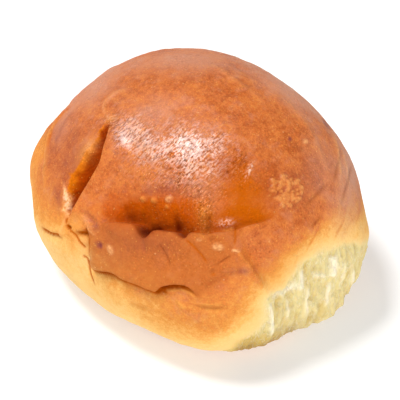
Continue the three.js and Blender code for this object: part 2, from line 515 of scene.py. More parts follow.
# outlines on the sketch plane: the apron's rim, left edge and lower edge, the split and the torn end
RIM = (
    (19.8, -1.8), (17.9, -2.9), (15.9, -3.6), (13.5, -4.1), (11.2, -4.8), (9.4, -5.4), (7.1, -5.7),
    (4.5, -5.9), (3.0, -6.3), (1.1, -6.0), (-1.3, -5.9), (-2.3, -7.2), (-3.4, -6.6),
    (-4.6, -5.9), (-6.8, -5.6), (-9.1, -5.3), (-10.4, -5.7), (-11.1, -6.5), (-12.4, -7.2),
    (-13.4, -5.6), (-14.5, -4.2), (-16.6, -3.7), (-19.1, -3.5), (-21.4, -3.8),
    (-22.6, -4.3), (-23.5, -6.1),
)  # fmt: skip
APRON_LEFT = ((-26.6, -4.9), (-25.9, -6.4), (-25.6, -8.4), (-25.7, -10.5), (-26.1, -12.9))
APRON_EDGE = (
    (-26.2, -12.7), (-25.4, -14.3), (-24.3, -15.5), (-22.6, -16.0), (-20.8, -16.1),
    (-19.2, -16.6), (-17.2, -17.8), (-13.5, -19.2), (-11.0, -20.1), (-9.2, -20.6),
    (-8.6, -20.1), (-7.9, -19.5), (-6.6, -19.1), (-4.9, -18.8), (-2.9, -18.9), (-1.5, -19.5),
    (-0.3, -20.5), (0.9, -21.8), (2.2, -22.9),
)  # fmt: skip
SPLIT = (
    (-21.2, 22.4), (-21.7, 18.0), (-22.7, 14.7), (-23.7, 10.9), (-25.5, 7.6),
    (-27.3, 4.8), (-29.1, 1.9), (-30.6, -0.8), (-31.6, -2.6),
)  # fmt: skip
CRUMB = (
    (16.9, -22.4), (18.4, -21.2), (20.8, -20.0), (22.6, -18.6), (23.8, -16.0), (25.8, -13.6),
    (28.8, -11.6), (31.5, -10.4), (35.5, -9.6), (39.0, -9.0), (42.0, -8.8), (47.0, -9.3),
    (46.5, -16.0), (43.0, -23.0), (38.0, -29.0), (32.0, -33.5), (25.0, -36.5), (17.0, -39.0),
    (6.5, -38.5), (8.6, -35.4), (10.6, -33.6), (12.9, -31.9), (15.0, -30.1), (16.3, -28.1),
    (17.0, -26.1), (16.8, -24.4),
)  # fmt: skip


@dataclass(frozen=True)
class CrustFolds:
    """Every crease, wrinkle, blister and stain of the crust, drawn on the sketch plane."""

    creases: tuple[Crease, ...] = (
        # the rim of the folded apron, in front of the trench that the crown sinks into; the trench is
        # darkened by painted shade
        Crease(
            RIM, lift=1.3, lift_width=4.5, sink=5.5, sink_width=6.5, tuck=0.7, fade=(0.34, 0.12),
            gather=4.0, depths=((0, 0.35), (0.18, 0.4), (0.3, 0.5), (0.4, 0.75), (0.49, 1.0),
            (0.57, 0.85), (0.71, 1.2), (0.8, 1.0), (0.88, 0.7), (1, 0.3)), caramel=0.24,
            shade_width=1.5, deep=1.0,
        ),
        # its shallow right end, with painted shade in warm orange-brown along its sunk side
        Crease(
            ((21.0, -1.3), (17.9, -2.9), (15.9, -3.6), (13.5, -4.1), (11.2, -4.8), (9.4, -5.4)),
            lift=0.3, lift_width=2.0, sink=0.5, sink_width=3.0, tuck=0.1, fade=(0.3, 0.1),
            gather=0.0, edge=0.2, amber=0.6, shade_width=1.3,
        ),
        # the apron's lower edge, hanging over the belly, with a painted shadow under it
        Crease(
            APRON_EDGE, lift=1.5, lift_width=5.0, sink=1.25, sink_width=0.95, tuck=0.55,
            fade=(0.05, 0.28), gather=3.0, depths=((0, 0.8), (0.12, 1.1), (0.25, 0.9), (0.38, 0.6),
            (0.55, 0.6), (0.65, 1.2), (0.8, 1.1), (0.9, 0.6), (1, 0.3)), edge=0.22,
            fair=-0.03, caramel=0.2, shade_width=0.3, amber=2.2,
        ),
        # the apron's left edge, with painted shade under it
        Crease(
            APRON_LEFT, lift=0.9, lift_width=3.0, sink=1.3, sink_width=1.8, tuck=0.5,
            fade=(0.2, 0.12), gather=2.0, depths=((0, 1.2), (0.5, 1.0), (1, 0.4)), edge=0.22,
            caramel=0.36, shade_width=0.26, amber=2.0,
        ),
        # the long split up the left of the crown, its floor darkened by painted shade towards the
        # overhanging lip
        Crease(
            SPLIT, lift=1.1, lift_width=4.5, sink=5.2, sink_width=5.4, tuck=1.0,
            fade=(0.14, 0.08), gather=4.0, side=Side.RAMP, split=1.0, caramel=0.22,
            shade_width=0.9, spread=((0, 0.1), (0.13, 0.33), (0.26, 0.63), (0.4, 1.02),
            (0.53, 0.96), (0.66, 0.96), (0.8, 0.74), (1, 0.5)),
        ),
        # a second split round the left shoulder
        Crease(
            ((-31.0, 27.6), (-34.6, 24.8), (-37.0, 21.3), (-38.3, 17.4), (-38.7, 13.8), (-38.4, 9.5)),
            lift=0.7, lift_width=2.5, sink=1.0, sink_width=4.5, tuck=0.3, fade=(0.25, 0.4),
            gather=2.0, split=0.55,
        ),
        # a fold in the left cheek, with painted shade under it
        Crease(
            ((-39.7, -4.8), (-38.1, -5.9), (-36.3, -6.8), (-34.5, -7.1), (-33.6, -8.1)),
            lift=0.5, lift_width=2.5, sink=0.5, sink_width=1.4, tuck=0.35, fade=(0.3, 0.15),
            gather=1.5, amber=1.3, shade_width=0.2,
        ),
        # the lip over the pocket beside the apron, with a painted shadow under it
        Crease(
            ((-30.6, -6.0), (-28.2, -6.3), (-26.0, -6.5)), lift=0.4, lift_width=1.5, sink=0.9,
            sink_width=1.5, tuck=0.3, fade=(0.6, 0.1), gather=1.5, shade_width=0.35, amber=1.4,
        ),
        # the ridge that runs from the apron's right end down to the torn corner, with painted shade on its
        # sunk side
        Crease(
            ((18.6, -21.6), (16.6, -18.6), (14.4, -15.4), (12.9, -13.0), (11.3, -11.0), (9.2, -10.3)),
            lift=0.8, lift_width=2.0, sink=0.9, sink_width=2.6, tuck=0.0, fade=(0.3, 0.2),
            gather=2.0, edge=0.8, amber=0.3, shade_width=0.6,
        ),
    )  # fmt: skip
    # each has its route, height, width and fades, then its tone, tint, width of the tint and gather
    wrinkles: tuple[Wrinkle, ...] = (
        # the ragged cream edge at the split's lower end
        Wrinkle(((-32.2, 4.2), (-33.0, 2.4), (-33.2, 0.4), (-32.8, -1.5)), 0.35, 0.25, (0.1, 0.15)),
        # cracks and pleats between the split and the apron
        Wrinkle(((-32.7, -0.5), (-32.0, -1.5), (-31.2, -2.7)),
                -0.3, 0.25, (0.2, 0.2), Tone.AMBER_AND_SHADE, 1.6, 0.18, 0.9),
        Wrinkle(((-32.0, -2.9), (-32.3, -4.2)), -0.3, 0.25, (0.2, 0.2), Tone.AMBER_AND_SHADE, 1.2, 0.18),
        Wrinkle(((-31.4, -5.8), (-29.9, -7.1), (-28.6, -9.0), (-27.3, -10.6)),
                -0.3, 0.22, (0.1, 0.15), Tone.AMBER_AND_SHADE, 1.7, 0.18, 1.0),
        Wrinkle(((-31.9, -2.5), (-32.7, -3.9), (-33.3, -5.7), (-33.7, -8.1)),
                0.45, 0.45, (0.2, 0.25), Tone.PALE, 0.3, 0.4),
        Wrinkle(((-27.0, -13.0), (-26.5, -15.3), (-25.8, -17.8), (-24.9, -20.4)),
                -0.3, 0.22, (0.05, 0.3), Tone.AMBER_AND_SHADE, 1.1, 0.16, 1.0),
        Wrinkle(((-28.3, -12.3), (-27.3, -12.8), (-26.7, -13.2)),
                -0.3, 0.25, (0.3, 0.1), Tone.AMBER_AND_SHADE, 1.4, 0.18, 0.8),
        # the plum valley and pale ridge by the apron's upper left corner
        Wrinkle(((-27.8, -0.6), (-26.6, -2.0), (-25.0, -3.9), (-23.9, -5.2), (-23.2, -6.8)),
                -0.6, 0.8, (0.2, 0.3), Tone.PLUM, 0.4, 0.6),
        Wrinkle(((-27.9, -1.8), (-26.8, -3.6), (-25.6, -5.2), (-24.5, -6.5), (-23.5, -7.9)),
                0.4, 0.4, (0.2, 0.3), Tone.PALE, 0.35, 0.3),
        # cracks in the apron
        Wrinkle(((-8.7, -8.3), (-7.5, -10.4), (-6.3, -12.6), (-5.8, -14.5)),
                -0.35, 0.3, (0.3, 0.2), Tone.CARAMEL_AND_SHADE, 0.34, 0.18, 1.0),
        Wrinkle(((-2.0, -7.7), (0.1, -9.8), (1.8, -11.8), (3.2, -13.9)),
                -0.4, 0.3, (0.1, 0.2), Tone.AMBER_AND_SHADE, 0.9, 0.22, 1.2),
        Wrinkle(((4.4, -14.2), (5.9, -13.4), (7.4, -12.4), (9.0, -11.7)),
                -0.3, 0.3, (0.4, 0.2), Tone.CARAMEL_AND_SHADE, 0.36, 0.22, 1.0),
        Wrinkle(((9.7, -4.2), (9.6, -5.8), (9.6, -7.6), (9.5, -9.4)),
                -0.35, 0.3, (0.1, 0.2), Tone.AMBER_AND_SHADE, 0.9, 0.24, 1.0),
        Wrinkle(((-12.5, -7.3), (-12.2, -9.5), (-11.4, -12.5)),
                -0.7, 0.9, (0.1, 0.5), Tone.PLUM, 0.12, 0.7),
        Wrinkle(((-19.0, -4.6), (-18.4, -6.6), (-18.8, -9.0)), 0.5, 1.6, (0.2, 0.5)),
        Wrinkle(((-9.4, -6.6), (-9.0, -8.6), (-8.8, -11.0)), 0.45, 1.3, (0.2, 0.5)),
        # runs of dark wash down the trench's wall
        Wrinkle(((-5.2, 0.4), (-5.7, -2.4), (-5.2, -5.6)), -0.35, 0.9, (0.5, 0.1), Tone.CARAMEL_AND_SHADE, 0.36, 0.9),
        Wrinkle(((-18.0, 1.4), (-18.6, -0.8), (-18.0, -2.8)),
                -0.3, 0.6, (0.4, 0.2), Tone.CARAMEL_AND_SHADE, 0.3, 0.6),
        Wrinkle(((-14.6, 0.8), (-14.9, -1.0), (-14.4, -3.4)), 0.2, 0.4, (0.4, 0.2), Tone.AMBER_AND_SHADE, 0.4, 0.35),
        Wrinkle(((-12.6, 0.2), (-12.8, -1.6), (-12.3, -4.4)), 0.2, 0.4, (0.4, 0.2), Tone.AMBER_AND_SHADE, 0.4, 0.35),
        Wrinkle(((-8.9, -0.6), (-8.7, -2.4), (-8.8, -4.6)), 0.2, 0.4, (0.4, 0.2), Tone.AMBER_AND_SHADE, 0.3, 0.35),
        Wrinkle(((2.2, -1.2), (2.9, -3.2), (2.6, -5.6)), -0.3, 0.7, (0.4, 0.1), Tone.CARAMEL_AND_SHADE, 0.32, 0.75),
        # a low ridge on the apron, and the creases that meet at its right end
        Wrinkle(((-3.0, -7.0), (-2.6, -9.2), (-1.6, -11.6), (-1.2, -14.0)), 0.4, 1.0, (0.2, 0.5)),
        # a painted highlight on the ridge top where the creases meet
        Wrinkle(((8.6, -10.3), (9.7, -10.5), (10.9, -10.8)),
                0.4, 0.3, (0.3, 0.2), Tone.PALE, 0.9, 0.22, 0.8),
        Wrinkle(((9.9, -10.6), (11.3, -11.9), (12.9, -13.9), (14.3, -16.2), (16.2, -19.0)),
                0.15, 0.4, (0.1, 0.6), Tone.GOLD, 0.2, 0.4, 0.8),
        Wrinkle(((1.7, -21.1), (3.0, -19.5), (4.4, -18.1), (6.9, -16.9), (9.3, -15.9), (12.1, -15.2)),
                -0.5, 1.0, (0.3, 0.3), Tone.CARAMEL_AND_SHADE, 0.18, 0.7),
        # the belly's lip under the apron's edge, and a ridge and a groove below it
        Wrinkle(((-7.9, -20.0), (-6.1, -20.3), (-4.2, -20.1), (-2.2, -20.2), (-1.0, -21.0),
                 (0.4, -22.2), (1.8, -23.0)),
                0.45, 0.45, (0.15, 0.3), Tone.GOLD, 0.6, 0.3),
        Wrinkle(((-4.4, -22.4), (-3.4, -23.6), (-2.0, -24.8)), 0.45, 0.5, (0.3, 0.3), Tone.GOLD, 0.6, 0.4),
        Wrinkle(((-1.0, -23.5), (1.1, -24.2), (4.0, -24.4), (6.9, -24.6), (8.8, -23.9)),
                -0.5, 0.7, (0.3, 0.3), Tone.CARAMEL_AND_SHADE, 0.14, 0.6),
        Wrinkle(((-1.0, -22.9), (1.1, -23.5), (4.0, -23.7), (6.9, -23.9)),
                0.35, 0.4, (0.3, 0.3), Tone.GOLD, 0.35, 0.3),
        Wrinkle(((-17.4, -24.0), (-13.6, -25.0), (-10.6, -25.9)),
                -0.3, 0.8, (0.3, 0.3), Tone.CARAMEL_AND_SHADE, 0.08, 0.8),
        # the thin ridge that arches over the top of the split, its pale tint a painted highlight
        Wrinkle(((-22.0, 21.8), (-23.0, 25.0), (-21.6, 27.6), (-19.1, 29.2), (-15.4, 29.8)),
                0.4, 0.45, (0.2, 0.4), Tone.PALE, 0.25, 0.4),
        # a pale streak of painted reflection along the left shoulder's ridge, and the borders of the second
        # split
        Wrinkle(((-37.9, 0.8), (-38.4, 5.3), (-38.6, 10.5), (-37.9, 16.9), (-35.6, 22.0), (-31.6, 26.4)),
                0.3, 0.5, (0.3, 0.3), Tone.GOLD, 0.35, 0.5),
        Wrinkle(((-31.4, 26.2), (-34.2, 23.8), (-36.2, 20.6), (-37.3, 16.8), (-37.6, 12.8)),
                -0.15, 0.3, (0.2, 0.3), Tone.DEEP_AND_SHADE, 0.7, 0.3),
        Wrinkle(((-30.6, 24.6), (-33.3, 21.6), (-35.0, 17.8), (-35.6, 13.0)),
                0.25, 0.5, (0.2, 0.3), Tone.PLUM, 0.3, 0.5),
        # long shallow wrinkles round the right shoulder
        Wrinkle(((14.8, 30.2), (23.4, 25.2), (29.5, 17.0), (32.5, 8.0), (33.0, 2.0)),
                0.15, 0.6, (0.3, 0.3), Tone.PALE, 0.10, 0.6),
        Wrinkle(((34.4, 19.5), (35.6, 12.5), (36.0, 5.0)), 0.25, 0.45, (0.2, 0.4), Tone.PALE, 0.35, 0.4),
        Wrinkle(((36.6, 15.0), (38.0, 8.5), (38.4, 2.0)), 0.2, 0.45, (0.2, 0.4), Tone.PALE, 0.25, 0.4),
        Wrinkle(((33.1, 6.5), (30.9, 4.0), (28.3, 1.6), (26.0, -0.8)),
                -0.15, 0.5, (0.3, 0.3), Tone.CARAMEL_AND_SHADE, 0.36, 0.42),
        Wrinkle(((31.3, -1.8), (29.7, -3.6), (27.7, -5.2)),
                -0.15, 0.5, (0.3, 0.3), Tone.CARAMEL_AND_SHADE, 0.36, 0.42),
        Wrinkle(((39.8, 11.4), (38.3, 7.0), (36.4, 1.6), (35.0, -1.4)),
                -0.15, 0.5, (0.2, 0.4), Tone.CARAMEL_AND_SHADE, 0.36, 0.42),
        Wrinkle(((36.3, 14.1), (35.0, 8.9), (33.7, 5.2)), -0.15, 0.5, (0.3, 0.3), Tone.CARAMEL_AND_SHADE, 0.36, 0.42),
        # folds over the top and flecks beside the shine
        Wrinkle(((2.5, 36.4), (6.7, 34.1), (11.1, 30.4), (15.5, 27.3), (17.9, 24.2)),
                0.3, 0.7, (0.2, 0.4), Tone.PALE, 0.12, 0.5),
        Wrinkle(((8.3, 37.1), (12.5, 33.8), (16.7, 31.1)), -0.25, 0.6, (0.2, 0.4), Tone.PLUM, 0.2, 0.5),
        Wrinkle(((13.2, 13.7), (11.5, 11.2), (10.3, 8.8)),
                -0.2, 0.35, (0.2, 0.2), Tone.CARAMEL_AND_SHADE, 0.25, 0.35),
        # low ridges on the belly's right
        Wrinkle(((7.3, -32.1), (10.4, -29.5), (13.3, -27.1), (16.2, -24.7)),
                0.25, 0.6, (0.3, 0.3), Tone.GOLD, 0.3, 0.5),
        Wrinkle(((8.8, -26.9), (12.0, -26.0), (15.3, -24.9)), 0.25, 0.5, (0.3, 0.3), Tone.GOLD, 0.3, 0.4),
    )  # fmt: skip
    blisters: tuple[Blister, ...] = (
        # the pit between the split and the apron, darkened by painted shade
        Blister((-31.6, -5.2), (0.8, 0.45), -0.6, -35, Tone.AMBER_AND_SHADE, 1.8),
        Blister((-31.6, -5.3), (0.6, 0.3), -0.1, -35, Tone.CARAMEL_AND_SHADE, 0.5),
        # spots on the apron, and the notch in its lower edge
        Blister((-20.4, -10.5), (0.65, 1.3), 0.3, 30, Tone.PALE, 0.55),
        Blister((-23.0, -9.3), (0.65, 1.0), -0.25, 35, Tone.PLUM, 0.8),
        Blister((5.6, -9.6), (1.3, 0.8), 0.35, -10, Tone.PALE, 0.6),
        Blister((1.2, -7.9), (0.7, 0.4), 0.25, 0, Tone.PALE, 0.35),
        Blister((4.1, -7.7), (0.5, 0.55), -0.35, 0, Tone.CARAMEL_AND_SHADE, 0.32),
        Blister((4.2, -15.4), (0.65, 0.65), -0.3, 0, Tone.CARAMEL_AND_SHADE, 0.22),
        Blister((-7.3, -20.7), (0.6, 0.3), -0.2, -20, Tone.AMBER_AND_SHADE, 0.9),
        # the row of blisters above the trench
        Blister((-13.6, 2.1), (0.75, 0.6), 0.55, 0, Tone.GOLD, 0.42),
        Blister((-10.7, 1.7), (0.9, 0.7), 0.65, 0, Tone.GOLD, 0.42),
        Blister((-6.7, 2.0), (1.0, 0.75), 0.65, 20, Tone.PALE, 0.5),
        Blister((-7.6, 0.3), (0.6, 0.45), 0.45, 20, Tone.GOLD, 0.4),
        # drops of wash that dried as ridges
        Blister((7.4, -3.8), (1.9, 0.6), 0.7, 5),
        Blister((7.8, -4.9), (1.5, 0.5), 0.1, 5, Tone.GOLD, 0.35),
        Blister((13.1, 8.7), (1.5, 0.42), 0.25, 62),
        # small spots on the crown
        Blister((9.4, 8.7), (0.3, 0.4), 0.15, 0, Tone.PALE, 0.8),
        Blister((27.2, 16.0), (0.7, 0.6), 0.2, 0, Tone.PALE, 0.5),
        Blister((9.6, 10.7), (0.45, 0.6), -0.2, 0, Tone.CARAMEL_AND_SHADE, 0.3),
        Blister((7.9, 8.3), (0.5, 0.4), -0.2, 0, Tone.CARAMEL_AND_SHADE, 0.35),
        Blister((12.2, 10.8), (0.4, 0.5), -0.2, 0, Tone.CARAMEL_AND_SHADE, 0.3),
        Blister((10.3, 13.7), (0.5, 0.5), -0.2, 0, Tone.PLUM, 0.6),
        Blister((23.4, 16.7), (0.5, 0.6), -0.1, 0, Tone.PLUM, 0.8),
        Blister((33.4, 20.8), (0.6, 1.6), -0.3, 35, Tone.PLUM, 0.6),
        Blister((-5.8, 12.7), (0.7, 0.6), 0.3, 0, Tone.AMBER_AND_SHADE, 1.0),
    )
    crackle_at: Point2 = (21.8, 3.8)  # a patch of small raised crumbs on the right of the crown
    crackle_size: Point2 = (4.3, 3.6)
    crackle_height: float = 0.5
    crackle_count: int = 44
    crackle_gap: float = 0.7  # between the middles of two crumbs
    stains: tuple[Stain, ...] = (
        # the trench's dark orange-brown: partly wash that pooled there, partly painted shade
        Stain((-14.5, -1.7), (6.5, 3.0), Tone.DEEP_AND_SHADE, 1.0),
        Stain((-4.4, -0.5), (8.0, 3.6), Tone.DEEP_AND_SHADE, 0.9),
        Stain((12.2, 9.8), (0.6, 0.9), Tone.DEEP_AND_SHADE, 0.5),
        # scorched spots, and painted shade in the trench's notches and hollows and at the torn end's lower
        # corner
        Stain((-12.0, -5.8), (1.9, 1.5), Tone.CARAMEL_AND_SHADE, 0.7),
        Stain((-2.3, -6.4), (1.2, 0.9), Tone.CARAMEL_AND_SHADE, 0.55),
        Stain((-16.5, -2.2), (2.6, 1.3), Tone.CARAMEL_AND_SHADE, 0.35),
        Stain((-4.8, -3.8), (1.9, 1.7), Tone.CARAMEL_AND_SHADE, 0.42, -15),
        Stain((-8.0, -4.6), (2.6, 1.2), Tone.CARAMEL_AND_SHADE, 0.4),
        Stain((-17.2, -1.0), (0.9, 2.4), Tone.CARAMEL_AND_SHADE, 0.3, -8),
        Stain((23.2, -31.4), (5.5, 2.2), Tone.CARAMEL_AND_SHADE, 0.19, 12),
        Stain((22.8, -15.4), (4.5, 2.4), Tone.CARAMEL_AND_SHADE, 0.06, 38),
        Stain((8.4, 8.9), (2.6, 2.0), Tone.CARAMEL_AND_SHADE, 0.12),
        Stain((2.6, -26.2), (5.5, 3.0), Tone.CARAMEL_AND_SHADE, 0.05),
        Stain((-20.6, 27.6), (5.0, 3.6), Tone.CARAMEL_AND_SHADE, 0.05, 30),
        Stain((13.0, -34.4), (4.6, 1.7), Tone.CARAMEL_AND_SHADE, 0.12, -4),
        # clear amber wash
        Stain((-38.9, 19.0), (0.7, 2.4), Tone.AMBER_AND_SHADE, 0.55, -20),
        Stain((3.4, -3.6), (2.0, 1.4), Tone.AMBER_AND_SHADE, 0.6),
        Stain((12.4, 1.4), (4.6, 3.9), Tone.AMBER_AND_SHADE, 0.62),
        Stain((12.5, 6.0), (1.2, 0.9), Tone.AMBER_AND_SHADE, 0.4),
        Stain((11.5, 5.2), (6.5, 5.0), Tone.AMBER_AND_SHADE, 0.44),
        Stain((4.4, -16.2), (0.55, 0.4), Tone.AMBER_AND_SHADE, 0.7, -30),
        Stain((-7.0, -21.0), (0.7, 0.35), Tone.AMBER_AND_SHADE, 0.6, -15),
        Stain((13.6, 9.6), (3.4, 3.0), Tone.AMBER_AND_SHADE, 0.22),
        Stain((18.0, 3.6), (2.6, 3.2), Tone.AMBER_AND_SHADE, 0.25),
        Stain((9.8, 9.0), (3.2, 5.0), Tone.AMBER_AND_SHADE, 0.5),
        Stain((10.4, -2.2), (5.5, 1.6), Tone.AMBER_AND_SHADE, 0.85),
        Stain((-0.5, 10.5), (9.0, 6.5), Tone.AMBER_AND_SHADE, 0.42, -20),
        # a mauve bloom on the dullest crust
        Stain((-36.6, 16.5), (1.5, 6.0), Tone.PLUM, 0.2, -15),
        Stain((-10.5, 4.4), (3.2, 1.3), Tone.PLUM, 0.28),
        Stain((8.6, 7.3), (2.3, 1.2), Tone.PLUM, 0.7),
        Stain((7.6, 9.6), (2.8, 2.4), Tone.PLUM, 0.4),
        Stain((-1.5, 13.0), (7.0, 5.0), Tone.PLUM, 0.25, -30),
        Stain((31.0, 10.5), (4.0, 7.0), Tone.PLUM, 0.1),
        Stain((-1.0, 35.5), (15.0, 4.0), Tone.PLUM, 0.07),
        Stain((-6.0, 4.2), (3.6, 1.8), Tone.PLUM, 0.34),
        Stain((-27.0, 30.5), (10.0, 5.0), Tone.PLUM, 0.07, 38),
        Stain((-19.6, -5.4), (4.4, 2.8), Tone.PLUM, 0.09),
        Stain((-31.5, 13.0), (3.8, 7.0), Tone.PLUM, 0.32, -15),
        Stain((-27.5, 13.5), (2.0, 3.5), Tone.PLUM, 0.2, -25),
        Stain((-34.6, 2.2), (0.9, 2.6), Tone.PLUM, 0.45, 15),
        Stain((-18.5, -10.5), (7.5, 5.0), Tone.PLUM, 0.22),
        Stain((-8.0, -8.7), (4.8, 2.8), Tone.PLUM, 0.22),
        Stain((11.4, -15.4), (1.6, 1.0), Tone.PLUM, 0.5),
        # painted shade on the left of the crackle patch
        Stain((17.5, 3.5), (1.4, 3.6), Tone.PLUM, 0.16, 15),
        Stain((-19.5, 17.5), (1.7, 1.7), Tone.PLUM, 0.25),
        # golden spots, rubbed or stretched
        Stain((-40.8, 16.0), (2.2, 5.0), Tone.GOLD, 0.5, -15),
        Stain((1.9, -1.6), (2.6, 3.0), Tone.GOLD, 0.34, 4),
        Stain((1.7, -4.2), (1.1, 2.6), Tone.GOLD, 0.25, 4),
        Stain((22.6, -15.2), (6.0, 2.6), Tone.GOLD, 0.5, 38),
        Stain((-28.8, -9.6), (2.4, 3.2), Tone.GOLD, 0.45),
        Stain((-29.5, -3.6), (2.2, 2.0), Tone.GOLD, 0.4),
        Stain((-27.8, 13.6), (1.4, 2.8), Tone.GOLD, 0.28, -30),
        Stain((-21.0, 22.0), (1.2, 0.9), Tone.GOLD, 0.35),
        # cream spots, most of them at the ragged end of the split
        Stain((-28.0, -9.5), (2.0, 2.6), Tone.PALE, 0.25),
        Stain((-32.7, 3.4), (0.42, 1.5), Tone.PALE, 1.1, 10),
        Stain((-32.5, 0.8), (0.5, 1.2), Tone.PALE, 1.1, -12),
        Stain((-32.9, -0.9), (0.75, 0.5), Tone.PALE, 1.0, 0),
        Stain((-32.0, -1.9), (0.45, 0.7), Tone.PALE, 0.9, 20),
        Stain((-26.4, 15.4), (1.1, 1.9), Tone.PALE, 0.3, -30),
        # painted reflection: a pinkish haze that stands in for the white surroundings reflected along the
        # far edges, over the crown and on the wedge below the shine
        Stain((-1.0, 37.2), (15.0, 3.4), Tone.PAINTED_REFLECTION, 0.7),
        Stain((23.5, 29.5), (12.0, 4.0), Tone.PAINTED_REFLECTION, 0.85, -38),
        Stain((-10.5, 23.5), (5.5, 3.5), Tone.PAINTED_REFLECTION, 0.4, 20),
        Stain((-26.0, 31.0), (9.0, 4.0), Tone.PAINTED_REFLECTION, 0.7, 38),
        Stain((39.5, 9.0), (3.5, 8.0), Tone.PAINTED_REFLECTION, 0.95),
        Stain((-34.5, 21.0), (3.0, 5.0), Tone.PAINTED_REFLECTION, 0.45, -15),
        Stain((36.5, 0.5), (4.0, 7.0), Tone.PAINTED_REFLECTION, 0.42),
        Stain((31.0, 10.5), (4.5, 8.0), Tone.PAINTED_REFLECTION, 0.35),
        Stain((0.8, 2.6), (4.8, 4.2), Tone.PAINTED_REFLECTION, 0.45, -15),
        # where the crust took less heat or, with a negative tint, more
        Stain((13.0, 23.0), (8.0, 4.5), Tone.FAIR, -0.05, -30),
        Stain((39.5, 9.0), (3.5, 6.0), Tone.FAIR, 0.12),
        Stain((-30.0, -15.5), (14.0, 7.5), Tone.FAIR, 0.13, -50),
        Stain((-37.5, 6.0), (4.5, 9.0), Tone.FAIR, -0.10),
        Stain((1.2, -29.0), (7.0, 4.0), Tone.FAIR, -0.08),
        Stain((15.5, 5.0), (8.5, 5.5), Tone.FAIR, -0.12),
        Stain((-25.3, -13.9), (2.4, 3.0), Tone.FAIR, 0.2),
        Stain((5.5, -25.5), (5.0, 3.5), Tone.FAIR, 0.07),
        Stain((12.0, -14.0), (6.5, 5.0), Tone.FAIR, 0.11),
        Stain((10.8, -22.5), (4.5, 3.5), Tone.FAIR, 0.06),
        Stain((-36.0, -8.0), (4.5, 4.5), Tone.FAIR, 0.13),
        Stain((37.0, 0.5), (3.5, 7.0), Tone.FAIR, 0.16),
        Stain((-27.6, -11.4), (2.6, 5.0), Tone.FAIR, 0.2),
        Stain((-9.5, -21.8), (7.5, 3.5), Tone.FAIR, 0.07, -12),
        Stain((27.0, 11.0), (4.5, 6.0), Tone.FAIR, -0.06),
        # where the wash dried thick: the coat follows it, and painted sparks and painted highlight grain
        # are laid on it
        Stain((-3.0, 13.4), (4.4, 4.4), Tone.WASH, 0.6, -38),
        Stain((5.2, 16.4), (3.8, 2.6), Tone.WASH, 0.4, -20),
        Stain((-11.8, 13.2), (3.2, 2.6), Tone.WASH, 0.3, -20),
        Stain((-2.6, 12.9), (13.0, 6.6), Tone.WASH, 0.6, -20),
        Stain((-16.6, 18.4), (5.4, 3.4), Tone.WASH, 0.85, -35),
        Stain((0.5, 1.5), (5.5, 6.5), Tone.WASH, 0.3, -15),
        Stain((-9.0, 6.5), (9.0, 2.2), Tone.WASH, 0.4, -8),
        Stain((2.2, -1.5), (2.4, 6.0), Tone.WASH, 0.36, 6),
        Stain((11.0, 10.5), (3.0, 3.0), Tone.WASH, 0.3, 0),
        # painted glints: highlights painted into the colour where the wash shines
        Stain((7.2, -3.6), (1.9, 0.7), Tone.PAINTED_GLINT, 0.65, 5),
        Stain((13.1, 8.7), (1.5, 0.5), Tone.PAINTED_GLINT, 0.8, 62),
        Stain((-32.6, 1.6), (0.35, 2.4), Tone.PAINTED_GLINT, 0.6, 3),
        Stain((-3.5, 14.4), (11.5, 4.6), Tone.PAINTED_GLINT, 0.14, -12),
        Stain((5.2, 16.2), (3.8, 2.6), Tone.PAINTED_GLINT, 0.14, -20),
        Stain((-11.8, 13.2), (3.2, 2.6), Tone.PAINTED_GLINT, 0.25, -20),
        Stain((1.5, 8.8), (5.5, 2.2), Tone.PAINTED_GLINT, 0.28, -8),
    )


